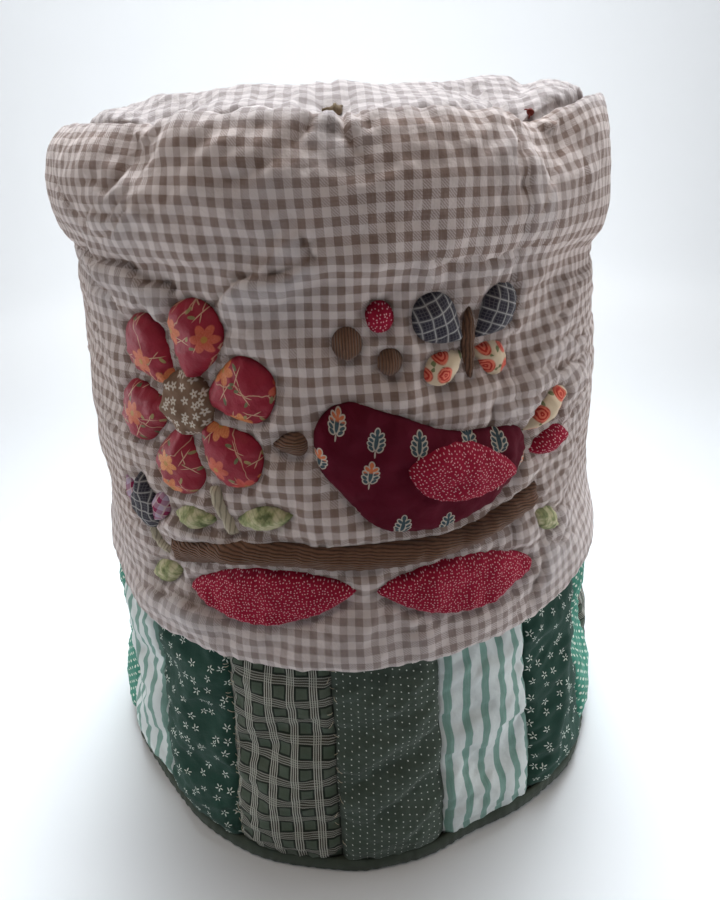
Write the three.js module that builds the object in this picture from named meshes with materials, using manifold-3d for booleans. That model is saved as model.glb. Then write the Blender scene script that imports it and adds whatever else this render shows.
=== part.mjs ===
/**
 * Quilted cover for an upturned 20 litre water jug, standing on its hem.
 *
 * The cover is a padded tube of gingham with a puffed roll at the top, a round padded crown that is
 * tied down at eight places, a band of eighteen patchwork panels, a binding round the hem, and padded
 * applique pieces sewn on the front. It is hollow and open at the bottom.
 *
 * Millimetres and degrees. +Z is up, the hem rests on z = 0 and the axis of the cover is x = y = 0.
 * Azimuth 0 is the front (-Y), and it grows towards the right (+X).
 */
import * as THREE from "three";
import { mergeVertices } from "three/addons/utils/BufferGeometryUtils.js";
import Module from "manifold-3d";

const wasm = await Module();
wasm.setup();

// ---------------------------------------------------------------- driving sizes
const gap = 0.3; // clearance between neighbouring pieces
const columns = 48; // facets round the cover
const appliqueReference = 160; // radius at which the applique's widths are measured

const tieRadius = 129.5; // seam between the roll and the crown
const tieHeight = 400.5;
const crownRise = 14.5; // how far the crown's middle stands above its edge
const crownEdge = 9; // thickness of the crown at its edge
const crownUnderside = 395; // flat underside that lies on the jug
const crownFlatRadius = 118; // the underside is flat inside this radius
const tieReach = 9.5; // degrees on each side of a tie that it pulls in

const creaseHeight = 343; // the crease under the roll
const creaseClimb = 6; // how far it climbs on the left and drops on the right
const creaseReach = 26; // how far above and below it the cloth shifts with it

const bandTop = 153; // height of the seam between patchwork and gingham
const bandPad = 4.5; // thickness of a patchwork panel
const panelCount = 18;
const firstPanelEdge = -45.5; // azimuth of one panel seam, the others follow evenly
const panelPuff = 1.6; // how far a panel swells between its seams
const panelPuffFade = 0.25; // share of the band's height over which the swelling fades at its top
const panelFacets = 4; // facets across a panel and up it

const bindingHeight = 9;
const bindingWidth = 6.5;
const bindingStandOut = 1; // how far it stands out from the panels
const bindingRound = 2; // rounding of its outer edge

const layerThickness = 1.9; // one padded applique piece

// ---------------------------------------------------------------- short tables
/**
 * Outer line of the gingham wall from its lower edge up to the tie seam. At a tie the line sinks by
 * `sink` and is drawn in by `draw`, both shares of the tie's own values. Between ties it lifts by `lift`.
 */
const wallOutside = [
  { radius: 165.8, height: 153, sink: 0, lift: 0, draw: 0 },
  { radius: 169.4, height: 155, sink: 0, lift: 0, draw: 0 },
  { radius: 169.6, height: 162, sink: 0, lift: 0, draw: 0 },
  { radius: 166.2, height: 172, sink: 0, lift: 0, draw: 0 },
  { radius: 163.6, height: 188, sink: 0, lift: 0, draw: 0 },
  { radius: 161.4, height: 204, sink: 0, lift: 0, draw: 0 },
  { radius: 160.2, height: 220, sink: 0, lift: 0, draw: 0 },
  { radius: 158.9, height: 236, sink: 0, lift: 0, draw: 0 },
  { radius: 157.9, height: 252, sink: 0, lift: 0, draw: 0 },
  { radius: 156.4, height: 268, sink: 0, lift: 0, draw: 0 },
  { radius: 154.2, height: 284, sink: 0, lift: 0, draw: 0 },
  { radius: 151.8, height: 300, sink: 0, lift: 0, draw: 0 },
  { radius: 150.3, height: 316, sink: 0, lift: 0, draw: 0 },
  { radius: 148.8, height: 330, sink: 0, lift: 0, draw: 0 },
  { radius: 146.8, height: 343, sink: 0, lift: 0, draw: 0 },
  { radius: 150.2, height: 352, sink: 0, lift: 0, draw: 0.1 },
  { radius: 151.9, height: 363, sink: 0, lift: 0.05, draw: 0.2 },
  { radius: 151.3, height: 375, sink: 0.1, lift: 0.15, draw: 0.5 },
  { radius: 149.0, height: 386, sink: 0.25, lift: 0.4, draw: 0.9 },
  { radius: 144.6, height: 396, sink: 0.6, lift: 0.8, draw: 1.0 },
  { radius: 137.2, height: 403, sink: 1.0, lift: 1.0, draw: 0.7 },
  { radius: tieRadius, height: tieHeight, sink: 0.9, lift: 0.6, draw: 0 },
];

/** Inner line of the gingham wall, from the tie seam down to the lower edge. */
const wallInside = [
  { radius: tieRadius, height: 390 },
  { radius: 137.8, height: 384 },
  { radius: 138.8, height: 340 },
  { radius: 145.4, height: 284 },
  { radius: 151.6, height: 216 },
  { radius: 158.2, height: 153 },
];

/**
 * The eight ties round the crown. In the lobe that follows a tie the roll stands up by `lobe`, and the
 * crown beside it swells by `swell`.
 */
const ties = [
  { azimuth: -176, sink: 4.0, draw: 4.0, lobe: 2.5, swell: 1.6 },
  { azimuth: -131, sink: 5.0, draw: 4.5, lobe: 3.0, swell: 1.8 },
  { azimuth: -86, sink: 4.0, draw: 4.0, lobe: 1.0, swell: 1.6 },
  { azimuth: -40, sink: 5.5, draw: 5.5, lobe: 1.8, swell: 2.0 },
  { azimuth: 1, sink: 2.5, draw: 2.5, lobe: 0.6, swell: 1.2 },
  { azimuth: 45, sink: 6.5, draw: 5.0, lobe: 6.2, swell: 1.5 },
  { azimuth: 91, sink: 5.0, draw: 4.5, lobe: 3.0, swell: 2.4 },
  { azimuth: 137, sink: 4.5, draw: 4.0, lobe: 2.0, swell: 1.6 },
];

/**
 * Main folds of the gingham wall. `out` is a ridge above 0 and a trough below it; `along` and `across`
 * are half its length and width, and `tilt` lifts its right-hand end.
 */
const wallFolds = [
  { azimuth: -50, height: 349, out: -2.6, along: 48, across: 9, tilt: 0 },
  { azimuth: 48, height: 340, out: -2.2, along: 52, across: 9, tilt: -4 },
  { azimuth: 5, height: 344, out: 2.4, along: 44, across: 12, tilt: 0 },
  { azimuth: -11, height: 344, out: 2.2, along: 26, across: 9, tilt: 20 },
  { azimuth: -12, height: 327, out: -1.6, along: 24, across: 9, tilt: 20 },
  { azimuth: -24, height: 246, out: 1.8, along: 34, across: 10, tilt: -6 },
  { azimuth: -24, height: 229, out: -2.4, along: 36, across: 10, tilt: -6 },
  { azimuth: -34, height: 203, out: 1.8, along: 34, across: 9, tilt: 6 },
  { azimuth: -34, height: 189, out: -2.2, along: 32, across: 9, tilt: 6 },
  { azimuth: -62, height: 320, out: -2.2, along: 30, across: 20, tilt: 0 },
  { azimuth: -62, height: 272, out: 2.0, along: 28, across: 18, tilt: 0 },
  { azimuth: 57, height: 308, out: 2.0, along: 26, across: 22, tilt: 20 },
  { azimuth: 60, height: 206, out: -3.0, along: 30, across: 20, tilt: 0 },
  { azimuth: 60, height: 158, out: 3.4, along: 34, across: 20, tilt: 0 },
  { azimuth: -62, height: 168, out: -2.8, along: 26, across: 16, tilt: 0 },
  { azimuth: 38, height: 318, out: -1.8, along: 34, across: 9, tilt: 38 },
  { azimuth: 44, height: 262, out: 1.6, along: 32, across: 10, tilt: 24 },
  { azimuth: 24, height: 176, out: 1.4, along: 30, across: 10, tilt: 0 },
  { azimuth: -4, height: 168, out: 2.0, along: 20, across: 12, tilt: 0 },
  { azimuth: 96, height: 345, out: -2.8, along: 40, across: 9, tilt: 3 },
  { azimuth: 112, height: 250, out: -2.6, along: 44, across: 12, tilt: -14 },
  { azimuth: 104, height: 226, out: 2.0, along: 38, across: 11, tilt: -14 },
  { azimuth: 150, height: 304, out: 2.2, along: 40, across: 12, tilt: 16 },
  { azimuth: 148, height: 202, out: -2.6, along: 42, across: 11, tilt: 6 },
  { azimuth: 178, height: 348, out: -2.4, along: 50, across: 9, tilt: 0 },
  { azimuth: -168, height: 262, out: -2.2, along: 46, across: 12, tilt: -18 },
  { azimuth: -136, height: 222, out: 2.4, along: 40, across: 12, tilt: 10 },
  { azimuth: -122, height: 326, out: 2.0, along: 36, across: 12, tilt: -10 },
  { azimuth: -104, height: 346, out: -3.0, along: 44, across: 9, tilt: 0 },
  { azimuth: -98, height: 196, out: -2.4, along: 40, across: 11, tilt: 8 },
  { azimuth: -150, height: 166, out: 2.4, along: 44, across: 12, tilt: 0 },
  { azimuth: 128, height: 164, out: 2.2, along: 40, across: 12, tilt: 0 },
];

/** Outer line of the patchwork band, from the hem up to the seam. */
const bandOutside = [
  { radius: 184.2, height: 0 },
  { radius: 183.6, height: 24 },
  { radius: 181.4, height: 46 },
  { radius: 178.2, height: 68 },
  { radius: 174.4, height: 90 },
  { radius: 171.0, height: 110 },
  { radius: 168.4, height: 132 },
  { radius: 165.6, height: bandTop },
];

/** Waves of the hem: how far it runs out or in, which fades to nothing at the top of the band. */
const hemWaves = [
  { azimuth: -72, out: 1.5, half: 10 },
  { azimuth: -50, out: -3.0, half: 10 },
  { azimuth: -23, out: 2.2, half: 15 },
  { azimuth: -2, out: 1.2, half: 5 },
  { azimuth: 22, out: -4.4, half: 11 },
  { azimuth: 48, out: 4.0, half: 11 },
  { azimuth: 70, out: -1.8, half: 9 },
  { azimuth: 92, out: 1.0, half: 9 },
  { azimuth: 118, out: 3.0, half: 14 },
  { azimuth: 152, out: -3.4, half: 14 },
  { azimuth: -170, out: 2.4, half: 13 },
  { azimuth: -136, out: -2.8, half: 14 },
  { azimuth: -102, out: 2.6, half: 13 },
];

/** Main folds of the patchwork band, as for the wall. */
const bandFolds = [
  { azimuth: -37, height: 96, out: 1.4, along: 46, across: 9, tilt: 78 },
  { azimuth: -18, height: 98, out: -1.4, along: 34, across: 9, tilt: 44 },
  { azimuth: -14, height: 62, out: 1.6, along: 40, across: 10, tilt: 40 },
  { azimuth: 4, height: 92, out: 1.6, along: 48, across: 11, tilt: 60 },
  { azimuth: 9, height: 60, out: -1.6, along: 44, across: 10, tilt: 60 },
  { azimuth: 27, height: 96, out: 2.0, along: 34, across: 11, tilt: 20 },
  { azimuth: 26, height: 66, out: -2.4, along: 34, across: 11, tilt: 16 },
  { azimuth: 46, height: 84, out: 2.0, along: 44, across: 12, tilt: 70 },
  { azimuth: 61, height: 84, out: -4.6, along: 26, across: 28, tilt: 0 },
  { azimuth: -61, height: 78, out: -2.2, along: 26, across: 34, tilt: 0 },
  { azimuth: 92, height: 80, out: 2.0, along: 46, across: 11, tilt: 64 },
  { azimuth: 126, height: 70, out: -2.0, along: 40, across: 12, tilt: 30 },
  { azimuth: 160, height: 92, out: 2.0, along: 44, across: 12, tilt: -60 },
  { azimuth: -162, height: 66, out: -2.0, along: 40, across: 12, tilt: 24 },
  { azimuth: -124, height: 88, out: 2.0, along: 42, across: 12, tilt: 62 },
  { azimuth: -88, height: 72, out: -1.8, along: 40, across: 12, tilt: -34 },
];

// ---------------------------------------------------------------- shape helpers
const radians = THREE.MathUtils.degToRad;
const turn = (azimuth) => THREE.MathUtils.euclideanModulo(azimuth + 180, 360) - 180;
const bell = (x) => Math.exp(-x * x);

/** The point of the cover at an azimuth, a radius and a height. */
function around(azimuth, radius, height) {
  const angle = radians(azimuth);
  return [radius * Math.sin(angle), -radius * Math.cos(angle), height];
}

/** The radius at a height, from a table of radii and heights in rising order. */
function radiusOf(table, height) {
  const next = Math.max(1, Math.min(table.length - 1, table.findIndex((row) => row.height >= height)));
  const [low, high] = [table[next - 1], table[next]];
  return THREE.MathUtils.mapLinear(height, low.height, high.height, low.radius, high.radius);
}

/** How far the folds of a table move the cloth out at an azimuth and a height. */
function foldsAt(folds, azimuth, height) {
  let out = 0;
  for (const fold of folds) {
    const side = radians(turn(azimuth - fold.azimuth)) * appliqueReference;
    const rise = height - fold.height;
    const [cos, sin] = [Math.cos(radians(fold.tilt)), Math.sin(radians(fold.tilt))];
    const [along, across] = [side * cos + rise * sin, rise * cos - side * sin];
    out += fold.out * bell(along / fold.along) * bell(across / fold.across);
  }
  return out;
}

/** How hard the ties pull at an azimuth, and how far the roll and the crown stand up between two ties. */
function rimAt(azimuth) {
  const rim = { sink: 0, draw: 0, lift: 0, swell: 0 };
  ties.forEach((tie, index) => {
    const after = ties[(index + 1) % ties.length];
    const span = THREE.MathUtils.euclideanModulo(after.azimuth - tie.azimuth, 360);
    const share = THREE.MathUtils.euclideanModulo(azimuth - tie.azimuth, 360) / span;
    const pull = bell(turn(azimuth - tie.azimuth) / tieReach);
    rim.sink += tie.sink * pull;
    rim.draw += tie.draw * pull;
    if (share < 1) {
      rim.lift = tie.lobe * Math.sin(Math.PI * share);
      rim.swell = tie.swell * Math.sin(Math.PI * share);
    }
  });
  return rim;
}

/** The crease under the roll climbs on the left and drops on the right. */
function creaseShift(azimuth, height) {
  return -creaseClimb * Math.sin(radians(azimuth)) * bell((height - creaseHeight) / creaseReach);
}

/** Outer point of the wall, [radius, height], at an azimuth and a row of wallOutside. */
function wallPoint(azimuth, row) {
  const rim = rimAt(azimuth);
  const cloth = foldsAt(wallFolds, azimuth, row.height) * (row.radius > tieRadius ? 1 : 0);
  const radius = row.radius + cloth - rim.draw * row.draw;
  const height = row.height + creaseShift(azimuth, row.height) - rim.sink * row.sink + rim.lift * row.lift;
  return [radius, height];
}

/** How far the hem runs out at an azimuth. */
function hemWave(azimuth) {
  return hemWaves.reduce((sum, wave) => sum + wave.out * bell(turn(azimuth - wave.azimuth) / wave.half), 0);
}

/** Outer radius of the band at an azimuth and a height; `puff` is 0 on a panel seam and 1 in its middle. */
function bandRadius(azimuth, height, puff) {
  const fade = 1 - height / bandTop;
  const folds = foldsAt(bandFolds, azimuth, height) * Math.sqrt(Math.max(0, fade));
  const swelling = panelPuff * puff * Math.min(1, fade / panelPuffFade);
  return radiusOf(bandOutside, height) + hemWave(azimuth) * fade + swelling + folds;
}

// ---------------------------------------------------------------- mesh helpers
/** A geometry from [x, y, z] points and faces of three or four point numbers. */
function geometryFrom(points, faces) {
  const geometry = new THREE.BufferGeometry();
  geometry.setAttribute("position", new THREE.Float32BufferAttribute(points.flat(), 3));
  geometry.setIndex(faces.flatMap(([a, b, c, d]) => (d === undefined ? [a, b, c] : [a, b, c, a, c, d])));
  geometry.computeVertexNormals();
  return geometry;
}

/** A closed ring. sectionAt(azimuth) gives its closed section as [radius, height], up the outside, down the inside. */
function ringGeometry(sectionAt) {
  const points = [];
  const faces = [];
  let size = 0;
  for (let column = 0; column < columns; column++) {
    const azimuth = (360 * column) / columns;
    const section = sectionAt(azimuth);
    size = section.length;
    section.forEach(([radius, height]) => points.push(around(azimuth, radius, height)));
  }
  for (let column = 0; column < columns; column++) {
    const here = column * size;
    const there = ((column + 1) % columns) * size;
    for (let row = 0; row < size; row++) {
      const up = (row + 1) % size;
      faces.push([here + row, there + row, there + up, here + up]);
    }
  }
  return geometryFrom(points, faces);
}

/** A padded sheet between two grids of the same size, front and back, closed along its edges. */
function slabGeometry(front, back) {
  const [rows, wide] = [front.length, front[0].length];
  const points = [...front.flat(), ...back.flat()];
  const behind = rows * wide;
  const at = (row, column) => row * wide + column;
  const faces = [];
  for (let row = 0; row + 1 < rows; row++) {
    for (let column = 0; column + 1 < wide; column++) {
      const [a, b, c, d] = [at(row, column), at(row, column + 1), at(row + 1, column + 1), at(row + 1, column)];
      faces.push([a, b, c, d], [behind + a, behind + d, behind + c, behind + b]);
    }
  }
  const edge = [];
  for (let column = 0; column + 1 < wide; column++) edge.push(at(0, column));
  for (let row = 0; row + 1 < rows; row++) edge.push(at(row, wide - 1));
  for (let column = wide - 1; column > 0; column--) edge.push(at(rows - 1, column));
  for (let row = rows - 1; row > 0; row--) edge.push(at(row, 0));
  edge.forEach((a, index) => {
    const b = edge[(index + 1) % edge.length];
    faces.push([a, behind + a, behind + b, b]);
  });
  return geometryFrom(points, faces);
}

/** A manifold solid from a closed geometry. */
function solidFrom(geometry) {
  geometry.deleteAttribute("normal");
  geometry.deleteAttribute("uv");
  const merged = mergeVertices(geometry, 1e-4);
  const mesh = new wasm.Mesh({
    numProp: 3,
    vertProperties: new Float32Array(merged.attributes.position.array),
    triVerts: new Uint32Array(merged.index.array),
  });
  return new wasm.Manifold(mesh);
}

/** A geometry from a manifold solid. */
function geometryOf(solid) {
  const { vertProperties, triVerts, numProp } = solid.getMesh();
  const geometry = new THREE.BufferGeometry();
  const position = [];
  for (let i = 0; i < vertProperties.length; i += numProp) position.push(...vertProperties.slice(i, i + 3));
  geometry.setAttribute("position", new THREE.Float32BufferAttribute(position, 3));
  geometry.setIndex([...triVerts]);
  geometry.computeVertexNormals();
  return geometry;
}

const cover = new THREE.Group();

/** Adds one named cloth piece to the cover. */
function addPiece(name, geometry, color, roughness = 0.9) {
  const mesh = new THREE.Mesh(geometry, new THREE.MeshStandardMaterial({ color, roughness, metalness: 0 }));
  mesh.name = name;
  cover.add(mesh);
}

// ---------------------------------------------------------------- colours
const colours = {
  gingham: 0xb0a198,
  teal: 0x3f8f79,
  stripe: 0xbfcdc2,
  sprig: 0x1d4a38,
  plaid: 0x66705d,
  pinDot: 0x3f5348,
  binding: 0x232f28,
  burgundyFloral: 0x7d1028,
  darkFolk: 0x4b0c1c,
  redPebble: 0x9c1634,
  corduroy: 0x50382a,
  navyCheck: 0x1d1b22,
  ticking: 0xa89c86,
  batik: 0x97966f,
  coralRose: 0xb5473c,
  brownLace: 0x6b4d3d,
  lilacCheck: 0x7a3c52,
};

// ---------------------------------------------------------------- gingham wall with its roll
const wallGeometry = ringGeometry((azimuth) => [
  ...wallOutside.map((row) => wallPoint(azimuth, row)),
  ...wallInside.map(({ radius, height }) => [radius, height]),
]);
addPiece("gingham_wall", wallGeometry, colours.gingham);

// ---------------------------------------------------------------- crown
/** Rings of the crown's top: a share of its radius, and shares of the edge's ups and downs and of the swell. */
const crownRings = [
  { share: 1.0, edge: 1.0, swell: 0 },
  { share: 0.94, edge: 0.9, swell: 0.7 },
  { share: 0.84, edge: 0.6, swell: 1.0 },
  { share: 0.64, edge: 0.15, swell: 0.3 },
];

function crownGeometry() {
  const radius = tieRadius - gap;
  const edgeRow = wallOutside.at(-1);
  const dome = (share) => crownRise * (1 - share ** 4);
  const points = [[0, 0, tieHeight + crownRise]];
  const faces = [];
  const rings = [
    ...crownRings.toReversed().map(({ share, edge, swell }) => (azimuth) => {
      const dip = (wallPoint(azimuth, edgeRow)[1] - tieHeight) * edge;
      const rise = dome(share) + dip + rimAt(azimuth).swell * swell;
      return around(azimuth, radius * share, tieHeight - gap + rise);
    }),
    (azimuth) => around(azimuth, radius, tieHeight - crownEdge),
    (azimuth) => around(azimuth, crownFlatRadius, crownUnderside),
  ];
  rings.forEach((pointAt) => {
    for (let column = 0; column < columns; column++) points.push(pointAt((360 * column) / columns));
  });
  points.push([0, 0, crownUnderside]);
  const bottomPole = points.length - 1;
  for (let column = 0; column < columns; column++) {
    const next = (column + 1) % columns;
    faces.push([0, 1 + column, 1 + next]);
    for (let ring = 0; ring + 1 < rings.length; ring++) {
      const [upper, lower] = [1 + ring * columns, 1 + (ring + 1) * columns];
      faces.push([upper + column, lower + column, lower + next, upper + next]);
    }
    const last = 1 + (rings.length - 1) * columns;
    faces.push([bottomPole, last + next, last + column]);
  }
  return geometryFrom(points, faces);
}
addPiece("crown", crownGeometry(), colours.gingham);

// ---------------------------------------------------------------- patchwork band
/** The order of the five green cottons, starting at the seam just left of the front. */
const panelFabrics = ["sprig", "plaid", "pinDot", "stripe", "sprig", "teal", "plaid", "stripe", "pinDot",
  "sprig", "teal", "stripe", "plaid", "sprig", "pinDot", "stripe", "teal", "stripe"];

function panelGeometry(index) {
  const width = 360 / panelCount;
  const start = firstPanelEdge + index * width;
  const margin = THREE.MathUtils.radToDeg(gap / 2 / bandOutside.at(-1).radius);
  const front = [];
  const back = [];
  for (let row = 0; row <= panelFacets; row++) {
    const height = THREE.MathUtils.lerp(bindingHeight + gap, bandTop - gap, row / panelFacets);
    const [frontRow, backRow] = [[], []];
    for (let column = 0; column <= panelFacets; column++) {
      const share = column / panelFacets;
      const azimuth = THREE.MathUtils.lerp(start + margin, start + width - margin, share);
      const puff = Math.sqrt(Math.sin(Math.PI * share));
      frontRow.push(around(azimuth, bandRadius(azimuth, height, puff), height));
      backRow.push(around(azimuth, bandRadius(azimuth, height, 0) - bandPad, height));
    }
    front.push(frontRow);
    back.push(backRow);
  }
  return slabGeometry(front, back);
}

for (let index = 0; index < panelCount; index++) {
  const name = `panel_${String(index + 1).padStart(2, "0")}`;
  addPiece(name, panelGeometry(index), colours[panelFabrics[index]]);
}

// ---------------------------------------------------------------- hem binding
const bindingGeometry = ringGeometry((azimuth) => {
  const outer = bandRadius(azimuth, 0, 0) + bindingStandOut;
  const inner = outer - bindingWidth;
  return [
    [inner + bindingRound / 2, 0],
    [outer - bindingRound, 0],
    [outer, bindingRound],
    [outer, bindingHeight - bindingRound],
    [outer - bindingRound, bindingHeight],
    [inner, bindingHeight],
  ];
});
addPiece("hem_binding", bindingGeometry, colours.binding);

// ---------------------------------------------------------------- applique outlines
/*
 * Outlines lie on the front of the wall as [s, z] points, anticlockwise: s is the distance to the right of
 * the front line, measured at appliqueReference, and z is the height.
 */

/**
 * A leaf, petal, wing or feather that grows from its root. `belly` is the share of its length where it is
 * widest, and a `blunt` value under 1 rounds its ends.
 */
function leafOutline({ s, z, angle, length, width, belly = 0.5, blunt = 0.8, steps = 6 }) {
  const shape = Math.log(0.5) / Math.log(belly);
  const [cos, sin] = [Math.cos(radians(angle)), Math.sin(radians(angle))];
  const edgePoint = (step, side) => {
    const share = step / steps;
    const along = length * share;
    const across = side * (width / 2) * Math.sin(Math.PI * share ** shape) ** blunt;
    return [s + along * cos - across * sin, z + along * sin + across * cos];
  };
  const lower = Array.from({ length: steps }, (_, step) => edgePoint(step, -1));
  const upper = Array.from({ length: steps }, (_, step) => edgePoint(steps - step, 1));
  return [...lower, ...upper];
}

/** A round dot. */
function roundOutline({ s, z, radius, steps = 9 }) {
  return Array.from({ length: steps }, (_, step) => {
    const angle = (2 * Math.PI * step) / steps;
    return [s + radius * Math.cos(angle), z + radius * Math.sin(angle)];
  });
}

/** A strip of even width along a smooth line, from left to right. */
function stripOutline({ line, width, steps = 8 }) {
  const curve = new THREE.SplineCurve(line.map(([s, z]) => new THREE.Vector2(s, z)));
  const side = (sign) => Array.from({ length: steps + 1 }, (_, step) => {
    const [point, tangent] = [curve.getPoint(step / steps), curve.getTangent(step / steps)];
    return [point.x + (tangent.y * sign * width) / 2, point.y - (tangent.x * sign * width) / 2];
  });
  return [...side(1), ...side(-1).toReversed()];
}

/** A closed smooth outline through a few named points. */
function bodyOutline({ points, steps = 20 }) {
  const closed = points.map(([s, z]) => new THREE.Vector3(s, z, 0));
  const curve = new THREE.CatmullRomCurve3(closed, true, "centripetal");
  return Array.from({ length: steps }, (_, step) => curve.getPoint(step / steps).toArray().slice(0, 2));
}

const outlineOf = { leaf: leafOutline, round: roundOutline, strip: stripOutline, body: bodyOutline };

const flower = { s: -78, z: 290, root: 8, petals: 6, firstAngle: 15 };
const petalPieces = Array.from({ length: flower.petals }, (_, index) => {
  const angle = flower.firstAngle + (360 * index) / flower.petals;
  return {
    name: `flower_petal_${index + 1}`, fabric: "burgundyFloral", level: 1, shape: "leaf", angle,
    s: flower.s + flower.root * Math.cos(radians(angle)), z: flower.z + flower.root * Math.sin(radians(angle)),
    length: 40, width: 30, belly: 0.66, blunt: 0.6,
  };
});

const birdBody = [
  [-15, 268], // throat, under the beak
  [-7, 254], // upper breast
  [18, 229], // breast
  [64, 230], // belly
  [90, 250], // vent
  [88, 268], // rump
  [49, 275], // back
  [20, 287], // nape
  [0, 293], // top of the head
  [-14, 284], // forehead
];

const appliquePieces = [
  ...petalPieces,
  { name: "flower_centre", fabric: "brownLace", level: 2, shape: "round", s: flower.s, z: flower.z,
    radius: 15 },
  { name: "flower_stem", fabric: "ticking", level: 1, shape: "strip", width: 6.5, steps: 3,
    line: [[-67.5, 251], [-65, 240], [-59, 226]] },
  { name: "branch", fabric: "corduroy", level: 1, shape: "strip", width: 13.5, steps: 7,
    line: [[-100, 206], [-50, 217.5], [0, 216], [50, 216.5], [104, 227]] },
  { name: "base_leaf_left", fabric: "redPebble", level: 1, shape: "leaf", s: 0, z: 198.5, angle: 187,
    length: 92, width: 31, blunt: 0.7 },
  { name: "base_leaf_right", fabric: "redPebble", level: 1, shape: "leaf", s: 9, z: 196.5, angle: -6,
    length: 92, width: 31, blunt: 0.7 },
  { name: "bird_body", fabric: "darkFolk", level: 1, shape: "body", points: birdBody },
  { name: "bird_wing", fabric: "redPebble", level: 2, shape: "leaf", s: 26, z: 262, angle: -12,
    length: 58, width: 29, belly: 0.4, blunt: 0.75 },
  { name: "bird_beak", fabric: "corduroy", level: 1, shape: "leaf", s: -18, z: 276, angle: 186,
    length: 18, width: 12, belly: 0.3, blunt: 0.9, steps: 4 },
  { name: "bird_tail_upper", fabric: "coralRose", level: 1, shape: "leaf", s: 92.5, z: 264, angle: 26,
    length: 33, width: 16, belly: 0.6, blunt: 0.6, steps: 5 },
  { name: "bird_tail_lower", fabric: "redPebble", level: 1, shape: "leaf", s: 94, z: 253.5, angle: 2,
    length: 31, width: 14, belly: 0.6, blunt: 0.6, steps: 5 },
  { name: "leaf_1", fabric: "batik", level: 1, shape: "leaf", s: -57, z: 234, angle: 12,
    length: 30, width: 13, steps: 5 },
  { name: "leaf_2", fabric: "batik", level: 1, shape: "leaf", s: -67, z: 233.5, angle: 187,
    length: 28, width: 12, steps: 5 },
  { name: "leaf_3", fabric: "batik", level: 1, shape: "leaf", s: 104, z: 214, angle: -38,
    length: 28, width: 13, steps: 5 },
  { name: "leaf_4", fabric: "batik", level: 1, shape: "leaf", s: -97, z: 195, angle: 206,
    length: 28, width: 13, steps: 5 },
  { name: "tulip_stem", fabric: "ticking", level: 1, shape: "strip", width: 5.5, steps: 3,
    line: [[-116, 216], [-113, 207], [-104.5, 203]] },
  { name: "tulip_left", fabric: "lilacCheck", level: 1, shape: "leaf", s: -120.5, z: 219, angle: 124,
    length: 25, width: 12, belly: 0.6, steps: 5 },
  { name: "tulip_right", fabric: "lilacCheck", level: 1, shape: "leaf", s: -112, z: 219, angle: 60,
    length: 24, width: 12, belly: 0.6, steps: 5 },
  { name: "tulip_middle", fabric: "navyCheck", level: 2, shape: "leaf", s: -116, z: 214, angle: 92,
    length: 33, width: 20, belly: 0.45, blunt: 0.65, steps: 6 },
  { name: "wing_upper_left", fabric: "navyCheck", level: 1, shape: "leaf", s: 57, z: 314, angle: 142,
    length: 30, width: 21, belly: 0.62, blunt: 0.6, steps: 5 },
  { name: "wing_upper_right", fabric: "navyCheck", level: 1, shape: "leaf", s: 63, z: 314, angle: 38,
    length: 30, width: 21, belly: 0.62, blunt: 0.6, steps: 5 },
  { name: "wing_lower_left", fabric: "coralRose", level: 1, shape: "leaf", s: 57, z: 309, angle: 206,
    length: 22, width: 15, belly: 0.6, blunt: 0.6, steps: 5 },
  { name: "wing_lower_right", fabric: "coralRose", level: 1, shape: "leaf", s: 63, z: 309, angle: -26,
    length: 22, width: 15, belly: 0.6, blunt: 0.6, steps: 5 },
  { name: "butterfly_body", fabric: "corduroy", level: 2, shape: "leaf", s: 60, z: 297, angle: 90,
    length: 31, width: 7.5, blunt: 0.5, steps: 4 },
  { name: "berry_1", fabric: "corduroy", level: 1, shape: "round", s: 2, z: 318, radius: 7 },
  { name: "berry_2", fabric: "redPebble", level: 1, shape: "round", s: 17, z: 328, radius: 6.5 },
  { name: "berry_3", fabric: "corduroy", level: 1, shape: "round", s: 21, z: 309, radius: 6 },
];

// ---------------------------------------------------------------- applique pieces
const appliqueRows = wallOutside.slice(2, 16); // from the wall's lower edge to just above the crease
const frontColumns = 9; // columns on each side of the front line that the applique reaches
const appliqueColumns = Array.from({ length: 2 * frontColumns + 1 },
  (_, index) => ((index - frontColumns) * 360) / columns);

/** A sheet that follows the wall's own facets, from `low` to `high` above them. */
function layerSolid(low, high) {
  const lifted = (lift) => appliqueRows.map((row) => appliqueColumns.map((azimuth) => {
    const [radius, height] = wallPoint(azimuth, row);
    return around(azimuth, radius + lift, height);
  }));
  return solidFrom(slabGeometry(lifted(high), lifted(low)));
}

/** A prism that runs out from the axis through an outline, from inside the wall to well outside it. */
function radialPrism(outline) {
  const [near, far] = [110, 240];
  const point = (radius) => ([s, z]) => around(THREE.MathUtils.radToDeg(s / appliqueReference), radius, z);
  const flat = outline.map(([s, z]) => new THREE.Vector2(s, z));
  const caps = THREE.ShapeUtils.triangulateShape(flat, []);
  const size = outline.length;
  const faces = [];
  for (const [a, b, c] of caps) faces.push([size + a, size + b, size + c], [c, b, a]);
  for (let a = 0; a < size; a++) {
    const b = (a + 1) % size;
    faces.push([a, b, size + b, size + a]);
  }
  return solidFrom(geometryFrom([...outline.map(point(near)), ...outline.map(point(far))], faces));
}

const levels = [1, 2].map((level) => {
  const low = gap + (level - 1) * (layerThickness + gap);
  return layerSolid(low, low + layerThickness);
});

for (const piece of appliquePieces) {
  const prism = radialPrism(outlineOf[piece.shape](piece));
  addPiece(piece.name, geometryOf(levels[piece.level - 1].intersect(prism)), colours[piece.fabric]);
}

export default cover;
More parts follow.
